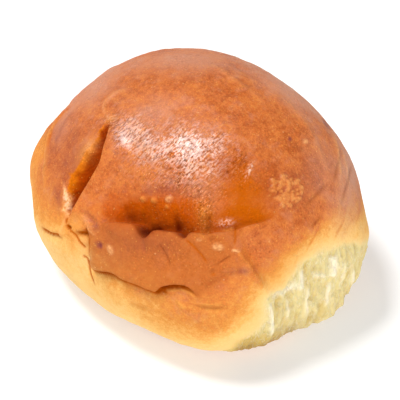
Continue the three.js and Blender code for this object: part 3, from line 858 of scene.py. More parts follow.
@dataclass(frozen=True)
class TornEnd:
    """The torn face: pale crumb below the crust's edge, in pulled strands with pores between."""

    outline: tuple[Point2, ...] = CRUMB
    oval_at: Point2 = (7.0, 14.0)  # the part round the far side: across the face and up
    oval_size: Point2 = (19.0, 11.5)
    depth: float = 0.3  # of the whole face below the crust
    edge: float = 1.7  # how far in it reaches that depth
    border_size: float = 2.2  # of the wander of the face's border
    border_wander: float = 0.7
    strand_height: float = 0.6
    strand_spacing: float = 2.2
    strand_length: float = 10.0
    strand_warp: float = 1.2  # how far strands bend sideways
    warp_size: float = 6.0
    shred_height: float = 0.3
    shred_size: Point2 = (0.9, 2.8)  # width and length
    ledge_height: float = 0.55
    ledge_size: tuple[float, float, float] = (5.0, 5.0, 4.0)
    pore_depth: float = 0.3
    pore_size: float = 0.8
    strands: tuple[Wrinkle, ...] = (
        Wrinkle(((18.0, -23.2), (18.6, -28.0), (18.8, -32.3)), 0.7, 0.5, (0.15, 0.2), Tone.PALE, 1.0, 0.45),
        Wrinkle(((25.9, -15.2), (26.2, -17.5), (26.0, -20.8)), 0.5, 0.9, (0.2, 0.2), Tone.PALE, 0.9, 0.8),
        Wrinkle(((34.0, -12.2), (34.3, -14.4), (33.9, -17.4)), 0.6, 1.0, (0.1, 0.1), Tone.PALE, 1.0, 1.0),
        Wrinkle(((33.6, -18.4), (33.2, -21.8), (33.0, -25.8)), 0.6, 0.6, (0.2, 0.3), Tone.PALE, 0.8, 0.5),
        Wrinkle(((39.6, -15.1), (39.8, -17.7), (40.1, -20.5)), 0.5, 0.6, (0.3, 0.3), Tone.PALE, 0.7, 0.55),
        Wrinkle(((18.6, -21.9), (21.0, -21.2), (23.6, -20.0), (25.4, -18.3)),
                0.4, 0.9, (0.1, 0.2), Tone.PALE, 0.7, 0.9),
        Wrinkle(((28.6, -17.2), (30.8, -16.9), (32.4, -17.3)), 0.5, 0.5, (0.2, 0.2), Tone.PALE, 0.6, 0.6),
        Wrinkle(((28.0, -19.4), (27.6, -23.6), (27.9, -28.2)), 0.4, 0.6, (0.2, 0.3), Tone.PALE, 0.6, 0.5),
        Wrinkle(((22.4, -22.0), (22.9, -25.2), (22.6, -29.0)), 0.35, 0.5, (0.2, 0.3), Tone.PALE, 0.5, 0.4),
        Wrinkle(((36.8, -13.2), (37.0, -16.2), (36.6, -19.8)), 0.35, 0.5, (0.2, 0.3), Tone.PALE, 0.5, 0.4),
        # painted shade in a groove, a painted shadow under the crust's overhanging lip, and painted shade
        # along the lower edge where the face turns under
        Wrinkle(((27.4, -16.4), (29.4, -15.2), (31.6, -14.2)),
                -0.35, 0.5, (0.3, 0.3), Tone.CARAMEL_AND_SHADE, 0.05, 0.5),
        Wrinkle(((17.2, -22.6), (19.4, -21.5), (21.8, -20.6), (24.4, -18.2)),
                -0.6, 0.45, (0.1, 0.3), Tone.CARAMEL_AND_SHADE, 0.14, 0.3),
        Wrinkle(((9.0, -35.9), (16.1, -36.0), (21.2, -34.6), (26.5, -32.8), (29.6, -31.0)),
                0.0, 1.2, (0.1, 0.3), Tone.CARAMEL_AND_SHADE, 0.36, 1.2),
    )  # fmt: skip
    pores: tuple[Blister, ...] = (
        Blister((29.0, -22.9), (1.5, 0.5), -0.6, 5),
        Blister((24.0, -24.0), (1.0, 0.7), -0.6, 20),
        Blister((36.6, -17.7), (0.5, 0.5), -0.5, 0),
        Blister((35.8, -21.5), (1.6, 0.5), -0.5, 0),
        Blister((20.6, -24.0), (1.2, 0.7), -0.6, 10),
        Blister((32.0, -20.0), (0.6, 1.0), -0.4, 0),
    )


# ---- the skin --------------------------------------------------------------------------------


@dataclass
class Skin:
    """The finished skin as arrays: points, quads and the masks that its finish reads."""

    points: Array
    quads: Array
    masks: dict[str, Array] = field(default_factory=dict)


@dataclass(frozen=True)
class RollShaper:
    """Works out the skin of the roll from the dough, its folds and the torn end."""

    dough: Dough = Dough()
    plane: SketchPlane = SketchPlane()
    folds: CrustFolds = CrustFolds()
    torn: TornEnd = TornEnd()
    divisions: int = 128  # quads along one side of the cage's six faces
    crowding: float = 0.42  # how strongly they crowd towards the folded corner
    gather_power: float = 1.6
    crease_reach: float = 2.2  # in widths, past which a crease is left out
    wrinkle_reach: float = 3.0
    rumple: float = 0.35  # height of the skin's slow unevenness
    fine_rumple: float = 0.1
    fray_size: float = 1.9  # of the ragged far border of a split
    fray_height: float = 1.1
    fair_width: float = 9.0  # of the less browned skin below a crease
    matt_width: float = 1.3  # of the dull skin along a crease
    patch_size: float = 9.0  # of the browning's unevenness
    patch_rise: float = 2.4
    left_drop: float = 5.0  # how much higher the browning starts on the left
    tanned_from: float = 7.5  # height at which the browning starts
    tanned_over: float = 27.0  # height over which it grows
    full_bake: float = 0.84
    base_bake: float = 0.45  # where it lay on the tray
    tear_stretch: float = 0.74  # how plain the stretched skin by the torn end is
    working: tuple[str, ...] = ("matt", "front", "fair")  # masks that the finish doesn't read

    def _cage(self) -> tuple[Array, Array]:
        """A cube's grid blown up to directions that crowd towards the folded corner.

        Returns:
            (N, 3) unit directions d + crowding * normal, normed, and (M, 4) quads that face out.
        """
        n = self.divisions
        ticks = np.tan(np.linspace(-1, 1, n + 1) * math.pi / 4)
        a, b = (g.ravel() for g in np.meshgrid(ticks, ticks, indexing="ij"))
        one = np.ones_like(a)
        sides = [(one, a, b), (-one, b, a), (b, one, a), (a, -one, b), (a, b, one), (b, a, -one)]
        corner = np.arange(n * (n + 1)).reshape(n, n + 1)[:, :n].ravel()
        quad = np.stack([corner, corner + n + 1, corner + n + 2, corner + 1], axis=1)
        grid = np.vstack([np.stack(side, axis=1) for side in sides])
        quads = np.vstack([quad + k * (n + 1) ** 2 for k in range(6)])
        _, first, merged = np.unique(
            np.round(grid * 1e5).astype(int), axis=0, return_index=True, return_inverse=True
        )
        quads = merged.reshape(-1)[quads]
        ways = unit(grid[first])
        right, up, normal = self.plane.right, self.plane.up, self.plane.normal
        ways = ways[:, :1] * right + ways[:, 1:2] * up + ways[:, 2:] * normal
        return unit(ways + self.crowding * normal), quads

    @staticmethod
    def _strength(fade: Point2, share: Array) -> Array:
        """How strong a fold is at a share of its route, dying away at both ends."""
        return smoothstep(share, 0, fade[0]) * smoothstep(1 - share, 0, fade[1])

    def _gathered(self, route: Route, reach: float, fade: Point2, spots: Array) -> Array:
        """Draws spots towards a route, so that the mesh is finer there.

        Args:
            route: The route.
            reach: How far from it spots are moved.
            fade: Shares of the route over which the moves die away.
            spots: (N, 2) sketched spots.

        Returns:
            (N, 2) moves. The offset becomes reach (|offset| / reach)^gather_power.
        """
        moves = np.zeros_like(spots)
        near = route.near(spots, reach)
        offset, share, normal = route.beside(spots[near])
        apart = np.minimum(abs(offset), reach)
        pull = (reach * (apart / reach) ** self.gather_power - apart) * np.sign(offset)
        moves[near] = normal * (pull * self._strength(fade, share))[:, None]
        return moves

    def _slide(self, points: Array, normals: Array, moves: Array, facing: Array) -> None:
        """Moves points in place, along the sketch plane but kept on the skin.

        Args:
            points: (N, 3) points, or shifts of them, that the moves are added to.
            normals: (N, 3) normals of the skin. The part of a move along its normal is left out.
            moves: (N, 2) moves in the sketch plane.
            facing: (N,) how squarely each point faces the sketch.
        """
        way = self.plane.lift(moves)
        way -= (way * normals).sum(1, keepdims=True) * normals
        points += way * facing[:, None]

    def _buckle(
        self, crease: Crease, spots: Array, leans: Array, masks: dict[str, Array]
    ) -> tuple[Array, Array]:
        """Pushes of one crease.

        Args:
            crease: The crease.
            spots: (N, 2) sketched spots.
            leans: (N, 2) normals of the skin, flattened into the sketch plane.
            masks: Masks of the skin, tinted in place where the crease asks.

        Returns:
            Push out along the normal, lift or minus sink times the side's profile, blended over
            the lip by (1 + tanh(offset / edge)) / 2; and (N, 2) moves that tuck the sunk side
            under the lip. Tints follow the offset that is seen once the skin has been pushed. The dark
            brown, warm orange-brown and trench tints are painted shade in the sunk side and on the lip's
            wall, and the wall mask darkens an open split's floor towards its lip, also painted shade.
        """
        out, moves = np.zeros(len(spots)), np.zeros_like(spots)
        route = Route(crease.route)
        near = route.near(spots, self.crease_reach * max(crease.lift_width, crease.sink_width))
        offset, share, normal = route.beside(spots[near])
        if crease.side is Side.RAMP:  # the far border of an open split is ragged
            flat = np.stack([*spots[near].T / self.fray_size, 0 * offset], axis=1)
            frayed = self.fray_height * Grain(Seed.SPLIT_EDGE).layers(flat, 3)
            offset = np.where(offset < -0.8, offset + frayed * smoothstep(-offset, 0.8, 2.2), offset)
        power = self._strength(crease.fade, share)
        raised = 0.5 * (1 + np.tanh(offset / crease.edge))
        width = crease.sink_width * np.interp(share, *zip(*crease.spread))
        sink = crease.sink * np.interp(share, *zip(*crease.depths))
        if crease.side is Side.RAMP:
            shape = np.clip(1 - abs(offset) / width, 0, 1) ** 1.3
            sink = sink * np.minimum(1.0, width / (0.6 * crease.sink_width))
        else:
            shape = bell(offset, width)
        sunk = (1 - raised) * power
        below = np.clip(3.0 * (1 - raised), 0.0, 1.0) * power
        out[near] = power * raised * crease.lift * bell(offset, crease.lift_width) - sunk * sink * shape
        tuck = sunk * crease.tuck * bell(offset, 1.6 * crease.tuck + 0.4)
        moves[near] = normal * tuck[:, None]
        hidden = np.clip(-(leans[near] * normal).sum(1), 0, 1)
        seen = np.minimum(offset + tuck + sunk * sink * shape * hidden, 0.0)
        depth = np.minimum(sink / max(crease.sink, 1e-6), 1.0)
        wall = np.clip(1 + seen / width, 0, 1)
        edge = 4 * raised * (1 - raised) * power
        # painted shade: dark brown in the hollow below the lip and on the lip's wall, warm orange-brown
        # wider out, and the trench's colour
        hollow_shade = sunk * bell(seen, crease.shade_width) + 0.6 * edge
        masks["caramel"][near] += crease.caramel * depth * hollow_shade
        masks["amber"][near] += crease.amber * sunk * bell(seen, 2.2 * crease.shade_width) * depth
        masks["deep"][near] += crease.deep * sunk * bell(seen, 0.8 * crease.sink_width) * depth
        # the wall mask darkens an open split towards its lip: painted shade
        masks["split"][near] += crease.split * below * smoothstep(wall, 0.0, 0.12)
        masks["wall"][near] = np.maximum(masks["wall"][near], below * wall * (crease.split > 0))
        masks["fair"][near] += crease.fair * sunk * bell(seen, self.fair_width)
        masks["matt"][near] += power * bell(offset, self.matt_width)
        return out, moves

    def _crumple(self, wrinkle: Wrinkle, spots: Array, masks: dict[str, Array]) -> Array:
        """Push of one wrinkle.

        Args:
            wrinkle: The wrinkle.
            spots: (N, 2) sketched spots.
            masks: Masks of the skin, tinted in place.

        Returns:
            (N,) pushes out: its height times a bell across the route.
        """
        out = np.zeros(len(spots))
        route = Route(wrinkle.route)
        near = route.near(spots, self.wrinkle_reach * max(wrinkle.width, wrinkle.tint_width))
        offset, share, _ = route.beside(spots[near])
        power = self._strength(wrinkle.fade, share)
        out[near] = wrinkle.height * power * bell(offset, wrinkle.width)
        if wrinkle.tone:
            masks[wrinkle.tone.value][near] += wrinkle.tint * power * bell(offset, wrinkle.tint_width)
        return out

    @staticmethod
    def _oval_radius(oval: Blister | Stain, spots: Array) -> Array:
        """Distance from an oval's middle, counted in its own half sizes.

        Args:
            oval: The oval, with its middle, half sizes and turn.
            spots: (N, 2) sketched spots.

        Returns:
            (N,) radii, 1 on the oval's border.
        """
        turn = math.radians(oval.turn)
        away = spots - np.array(oval.at)
        a = (away[:, 0] * math.cos(turn) + away[:, 1] * math.sin(turn)) / oval.size[0]
        b = (away[:, 1] * math.cos(turn) - away[:, 0] * math.sin(turn)) / oval.size[1]
        return np.hypot(a, b)

    def _blister(self, blister: Blister, spots: Array, masks: dict[str, Array]) -> Array:
        """Push of one blister.

        Args:
            blister: The blister.
            spots: (N, 2) sketched spots.
            masks: Masks of the skin, tinted in place.

        Returns:
            (N,) pushes out: its height times exp(-r^4) of the oval radius r.
        """
        shape = np.exp(-(self._oval_radius(blister, spots) ** 4))
        if blister.tone:
            masks[blister.tone.value] += blister.tint * shape
        return blister.height * shape

    def _stain(self, stain: Stain, spots: Array, ragged: Array, masks: dict[str, Array]) -> None:
        """Tints a mask in place, by exp(-r^2) of the oval radius r.

        Args:
            stain: The stain.
            spots: (N, 2) sketched spots.
            ragged: (N,) noise that stretches and shrinks the radius.
            masks: Masks of the skin.
        """
        radius = self._oval_radius(stain, spots) * (1 + 0.35 * ragged)
        masks[stain.tone.value] += stain.tint * bell(radius, 1.0)

    def _crackle(self, spots: Array, masks: dict[str, Array]) -> Array:
        """The patch of small raised crumbs on the crown.

        Args:
            spots: (N, 2) sketched spots.
            masks: Masks of the skin. Crumbs are tinted golden in place, and the gaps mauve as painted
                shade.

        Returns:
            (N,) pushes out: the highest of many domes (1 - r^2).
        """
        folds = self.folds
        rng = np.random.default_rng(Seed.CRACKLE.value)
        lumps, middles = np.zeros(len(spots)), []
        flat = np.stack([*spots.T, 0 * spots[:, 0]], axis=1) / 0.8
        shift = [Grain(seed).at(flat) for seed in (Seed.CRACKLE_ACROSS, Seed.CRACKLE_UP)]
        spots = spots + 0.3 * np.stack(shift, axis=1)
        while len(middles) < folds.crackle_count:
            turn, far = rng.uniform(0, math.tau), math.sqrt(rng.uniform())
            way = np.array([math.cos(turn), math.sin(turn)]) * far
            middle = np.array(folds.crackle_at) + way * np.array(folds.crackle_size)
            if middles and np.linalg.norm(np.array(middles) - middle, axis=1).min() < folds.crackle_gap:
                continue
            middles.append(middle)
            size = rng.uniform(0.4, 0.9) * np.array([1.0, rng.uniform(0.75, 1.3)])
            away = (spots - middle) / size
            lumps = np.maximum(lumps, rng.uniform(0.6, 1.0) * np.clip(1 - (away**2).sum(1), 0, 1))
        away = (spots - np.array(folds.crackle_at)) / np.array(folds.crackle_size)
        patch = bell(np.hypot(*away.T), 1.3)
        masks["gold"] += 0.25 * smoothstep(lumps, 0.1, 0.8)
        masks["pale"] += 0.16 * smoothstep(lumps, 0.1, 0.8)
        # painted shade in the gaps between the crumbs
        masks["plum"] += 0.3 * patch * (1 - smoothstep(lumps, 0.0, 0.35))
        return folds.crackle_height * lumps

    def _torn_depth(self, points: Array, spots: Array, facing: Array) -> Array:
        """Distance inside the torn face's border, in millimetres.

        Args:
            points: (N, 3) points of the skin.
            spots: (N, 2) sketched spots.
            facing: How squarely each spot faces the sketch.

        Returns:
            The depth inside the sketched outline. Round the far side it gives way to the larger
            of that and the depth inside an oval drawn on the face, and both are clipped at -20.
        """
        torn = self.torn
        across = np.array([-self.dough.torn_normal[1], self.dough.torn_normal[0], 0.0])
        a = (points @ across - torn.oval_at[0]) / torn.oval_size[0]
        b = (points[:, 2] - torn.oval_at[1]) / torn.oval_size[1]
        oval = (1 - (abs(a) ** 2.5 + abs(b) ** 2.5) ** 0.4) * torn.oval_size[1]
        oval = np.where(points @ self.dough.torn_normal > 15, np.maximum(oval, -20.0), -20.0)
        drawn = np.maximum(Route(torn.outline, closed=True).depth(spots), -20.0)
        return drawn * facing + np.maximum(drawn, oval) * (1 - facing)

    def _crumb(self, points: Array, spots: Array, depth: Array, masks: dict[str, Array]) -> Array:
        """Relief of the torn face, and its mask.

        Args:
            points: (N, 3) points of the skin.
            spots: (N, 2) sketched spots.
            depth: Distance inside the torn face's border.
            masks: Masks of the skin; the crumb mask is filled in.

        Returns:
            Push out: strands are 1 - 2 |noise| of noise stretched down the face, so that they stand as
                ridges, over slow ledges and with finer shreds and pores on top, all let in by the torn
                depth. The strand mask carries painted shade at the lower corner, in the crust's shadow.
        """
        torn = self.torn
        depth = depth + torn.border_wander * Grain(Seed.TORN_BORDER).layers(points / torn.border_size, 3)
        inside = smoothstep(depth, -0.5, torn.edge)
        across = np.array([-self.dough.torn_normal[1], self.dough.torn_normal[0], 0.0])
        s, z = points @ across, points[:, 2]
        warp = torn.strand_warp * Grain(Seed.STRAND_WARP).layers(points / torn.warp_size, 2)
        stretched = np.stack([(s + warp) / torn.strand_spacing, z / torn.strand_length, 0 * s], axis=1)
        strands = torn.strand_height * (1 - 2 * abs(Grain(Seed.STRANDS).layers(stretched, 2)))
        width, length = torn.shred_size
        fine = [(s + warp) / width, z / length, points @ self.dough.torn_normal / width]
        shreds = torn.shred_height * Grain(Seed.SHREDS).layers(np.stack(fine, axis=1), 2)
        ledges = torn.ledge_height * Grain(Seed.LEDGES).layers(points / torn.ledge_size, 2)
        pitted = Grain(Seed.PORES).layers(points / torn.pore_size, 2)
        pores = -torn.pore_depth * smoothstep(pitted, 0.25, 0.7)
        masks["crumb"] = smoothstep(depth, -1.2, 1.4)
        # painted shade: the lower corner, under the crust, is darker
        corner = smoothstep(-spots[:, 1], 30.0, 34.5) * (1 - smoothstep(spots[:, 0], 17.0, 24.0))
        lightness = 0.85 - 0.25 * inside + inside * (strands + shreds + 0.4 * ledges - 0.2) / 1.8
        masks["strand"] = np.clip(lightness - 0.9 * corner * masks["front"], 0, 1)
        marks = {tone.value: np.zeros(len(points)) for tone in Tone}
        out = strands + shreds + ledges + pores - torn.depth
        for strand in torn.strands:
            out += self._crumple(strand, spots, marks)
        for pore in torn.pores:
            out += self._blister(pore, spots, marks)
        masks["shred"] = np.clip(marks["pale"], 0, 1) * inside
        masks["caramel"] += marks["caramel"] * inside
        return out * inside

    def _bake(
        self, points: Array, normals: Array, spots: Array, depth: Array, masks: dict[str, Array]
    ) -> None:
        """How far the crust is browned, and where its wash shines.

        Args:
            points: (N, 3) points of the skin.
            normals: (N, 3) its outward normals.
            spots: (N, 2) sketched spots.
            depth: Distance inside the torn face's border.
            masks: Masks of the skin; bake and gloss are filled in.

        The browning grows with the height, patchy and less on the left. It pales beside the torn
        end, where dark strokes are left on the stretched skin. The base is tanned evenly.
        """
        patchy = Grain(Seed.BROWNING).layers(points / self.patch_size, 3)
        left = 1 - smoothstep(points @ self.plane.right, -26.0, -4.0)
        height = points[:, 2] - self.left_drop * left + self.patch_rise * patchy
        bake = self.full_bake * np.clip((height - self.tanned_from) / self.tanned_over, 0, 1)
        reach = 8.6 + 9.0 * smoothstep(spots[:, 0], 27.0, 40.0) * masks["front"]
        pale = smoothstep((depth - 0.5 + 1.5 * patchy) / reach, -1.0, 0.0)
        across = spots @ np.array([0.89, -0.45])
        along = spots @ np.array([0.45, 0.89]) / 5.5  # strokes are 5.5 times as long as they are wide
        strokes = Grain(Seed.STROKES).layers(np.stack([across, along, 0 * along], axis=1), 2)
        strokes = smoothstep(strokes, 0.0, 0.6) * masks["front"] * smoothstep(spots[:, 0], 17.0, 30.0)
        bake = bake * (1 - 0.9 * pale) + 1.7 * strokes * pale * (1 - pale) * bake
        stretched = smoothstep(depth + 1.2 * patchy - 0.8 * strokes, -3.2, 1.0)
        masks["stretched"] = self.tear_stretch * stretched
        bake = np.maximum(bake, self.base_bake * smoothstep(-normals[:, 2], 0.75, 0.98))
        masks["bake"] = np.clip(bake - masks["fair"] * masks["front"], 0, 1)
        height = smoothstep(points[:, 2], 26, 42)
        masks["gloss"] = smoothstep(masks["bake"], 0.3, 0.8) * (0.15 + 0.22 * height)

    def _flap(self, spots: Array, masks: dict[str, Array]) -> None:
        """The folded apron, which is matt and evenly tanned: inside its outline, fading to the right.

        Args:
            spots: (N, 2) sketched spots.
            masks: Masks of the skin; flap and the zone of painted sparks and painted highlight grain are
                filled in, and gloss and wash dulled.
        """
        right_end = ((6.9, -16.9), (12.1, -15.2))
        outline = (*RIM[4:-1:2], *APRON_LEFT[1:], *APRON_EDGE[1:-2:2], APRON_EDGE[-2], *right_end)
        depth = Route(outline, closed=True, steps=4).depth(spots)
        soft = 0.4 + 3.0 * smoothstep(spots[:, 0], -1.5, 3.0) * smoothstep(-spots[:, 1], 11.0, 16.0)
        fade = 1 - smoothstep(spots[:, 0], 4.0, 17.0)
        masks["flap"] = smoothstep(depth / soft, -1.0, 1.0) * fade * masks["front"]
        dull = masks["flap"] + masks["split"] + 1.5 * masks["caramel"] + masks["crumb"] + masks["amber"]
        dull += masks["matt"] + 0.85 * masks["deep"]
        masks["gloss"] *= 1 - np.clip(dull, 0, 0.95)
        # where painted sparks and painted highlight grain go
        masks["painted_glitter"] = masks["wash"] * masks["front"] * (1 - masks["flap"])
        masks["wash"] *= 1 - np.clip(dull, 0, 0.95)

    def shape(self) -> Skin:
        """Works out the whole skin.

        Returns:
            The finished skin, resting on Z = 0.
        """
        ways, quads = self._cage()
        points, normals = self.dough.skin(ways), self.dough.normals(ways)
        facing = smoothstep(normals @ self.plane.normal, -0.12, 0.18)
        heart = self.dough.heart
        for fold in (*self.folds.creases, *self.folds.wrinkles):
            if fold.gather > 0:
                spots = self.plane.flatten(points, heart)
                moves = self._gathered(Route(fold.route), fold.gather, fold.fade, spots)
                self._slide(points, normals, moves, facing)
        spots = self.plane.flatten(points, heart)
        spots[facing <= 0] += 500.0  # the far side lies behind the sketch, and takes none of it
        leans = self.plane.flatten(normals, np.zeros(3))
        names = (*(tone.value for tone in Tone), "split", "wall", "matt")
        masks = {name: np.zeros(len(points)) for name in names}
        masks["front"] = facing
        depth = self._torn_depth(points, spots, facing)
        relief = self._crumb(points, spots, depth, masks)
        out, shift = np.zeros(len(points)), np.zeros_like(points)
        for crease in self.folds.creases:
            push, moves = self._buckle(crease, spots, leans, masks)
            out += push
            self._slide(shift, normals, moves, facing)
        for wrinkle in self.folds.wrinkles:
            out += self._crumple(wrinkle, spots, masks)
        for blister in self.folds.blisters:
            out += self._blister(blister, spots, masks)
        ragged = Grain(Seed.STAIN_EDGES).layers(points / 2.5, 3)
        for stain in self.folds.stains:
            self._stain(stain, spots, ragged, masks)
        out += self._crackle(spots, masks)
        self._bake(points, normals, spots, depth, masks)
        self._flap(spots, masks)
        for name in ("split", "pale", "gold", "amber", "deep", "plum", "wash", "sheen", "rosy", "fair"):
            masks[name] *= facing
        rumple = self.rumple * Grain(Seed.RUMPLE).layers(points / 7.0, 3)
        rumple += self.fine_rumple * Grain(Seed.FINE_RUMPLE).layers(points / 2.2, 2)
        out = out * facing + relief + self.dough.swollen(points)
        out += rumple * smoothstep(points[:, 2], 0.5, 5.0)
        points = points + shift + normals * out[:, None]
        points[:, 2] = np.maximum(points[:, 2] - self.dough.base_trim, 0.0)
        kept = {name: np.clip(mask, 0, 1) for name, mask in masks.items() if name not in self.working}
        return Skin(points, quads, kept)


# ---- finishes --------------------------------------------------------------------------------

Colour = tuple[float, float, float, float]
Socket = bpy.types.NodeSocket


@dataclass(frozen=True)
class Mottle:
    """Noise that mottles the crust at one scale."""

    size: float  # of its features, in millimetres
    detail: float
    strength: float
    rough: float = 0.5
    swirl: float = 0.0


@dataclass(frozen=True)
class Specks:
    """Small soft dots, one in each cell of `size` millimetres that draws more than `share`."""

    size: float
    radius: float  # as a share of the cell
    share: float


@dataclass(frozen=True)
class CrustFinish:
    """Colours, mottling and gloss of the baked crust and the torn crumb."""

    browning: tuple[tuple[float, Colour], ...] = (
        (0.00, (0.79, 0.510, 0.195, 1)),
        (0.20, (0.74, 0.395, 0.115, 1)),
        (0.40, (0.64, 0.257, 0.053, 1)),
        (0.60, (0.57, 0.183, 0.037, 1)),
        (0.80, (0.49, 0.129, 0.028, 1)),
        (1.00, (0.35, 0.074, 0.012, 1)),
    )
    flap: Colour = (0.40, 0.105, 0.021, 1)
    # the trench's colour, partly painted shade; the dark specks use it too
    deep: Colour = (0.48, 0.077, 0.0010, 1)
    split_edge: Colour = (0.57, 0.142, 0.0035, 1)
    # painted shade towards the split's overhanging lip
    split_shaded_floor: Colour = (0.31, 0.036, 0.0001, 1)
    gold: Colour = (0.72, 0.32, 0.065, 1)
    # painted reflection of the white surroundings
    rosy: Colour = (0.51, 0.235, 0.145, 1)
    # painted sparks of highlight
    painted_sparkle: Colour = (0.78, 0.36, 0.17, 1)
    # painted glints
    sheen: Colour = (0.85, 0.57, 0.43, 1)
    # warm orange-brown: partly clear wash, partly painted shade in creases and under lips
    amber: Colour = (0.41, 0.080, 0.0010, 1)
    # dark brown: scorched spots, and painted shade in creases, notches and along the crumb's shaded edges
    caramel: Colour = (0.12, 0.010, 0.0002, 1)
    pale: Colour = (0.78, 0.40, 0.16, 1)
    plum: Colour = (0.20, 0.045, 0.035, 1)
    stretched: Colour = (0.74, 0.495, 0.190, 1)
    crumb_low: Colour = (0.56, 0.39, 0.115, 1)
    crumb_high: Colour = (0.68, 0.56, 0.27, 1)
    shred: Colour = (0.84, 0.76, 0.55, 1)
    mottling: tuple[Mottle, Mottle, Mottle, Mottle] = (
        Mottle(5.0, 4.0, 0.6, 0.6, 0.6),
        Mottle(1.6, 3.0, 0.6, 0.6),
        Mottle(0.75, 2.0, 0.5, 0.6),
        Mottle(0.32, 1.0, 0.4),
    )
    pale_specks: Specks = Specks(2.3, 0.13, 0.55)
    small_specks: Specks = Specks(0.95, 0.24, 0.45)
    dark_specks: Specks = Specks(2.3, 0.12, 0.7)
    # painted sparks of highlight
    painted_sparks: Specks = Specks(0.8, 0.28, 0.5)
    painted_brushed_sparks: Specks = Specks(0.36, 0.4, 0.6)
    brush_stretch: tuple[float, float, float] = (0.35, 1.0, 1.0)
    streak_stretch: tuple[float, float, float] = (1.0, 0.2, 0.5)
    thread_stretch: tuple[float, float, float] = (1.0, 1.0, 0.22)
    gloss_roughness: float = 0.20
    matt_roughness: float = 0.74
    coat_roughness: float = 0.42
    coat_ior: float = 2.1
    ior: float = 1.5
    specular_level: float = 0.01
    fuzz: float = 0.06  # the faint bloom of a crust seen edge-on
    fuzz_roughness: float = 0.28
    fuzz_tint: Colour = (1.0, 0.72, 0.55, 1)
    glow_through: float = 0.10
    glow_colour: tuple[float, float, float] = (1.0, 0.45, 0.2)
    glow_reach: float = 1.5  # millimetres


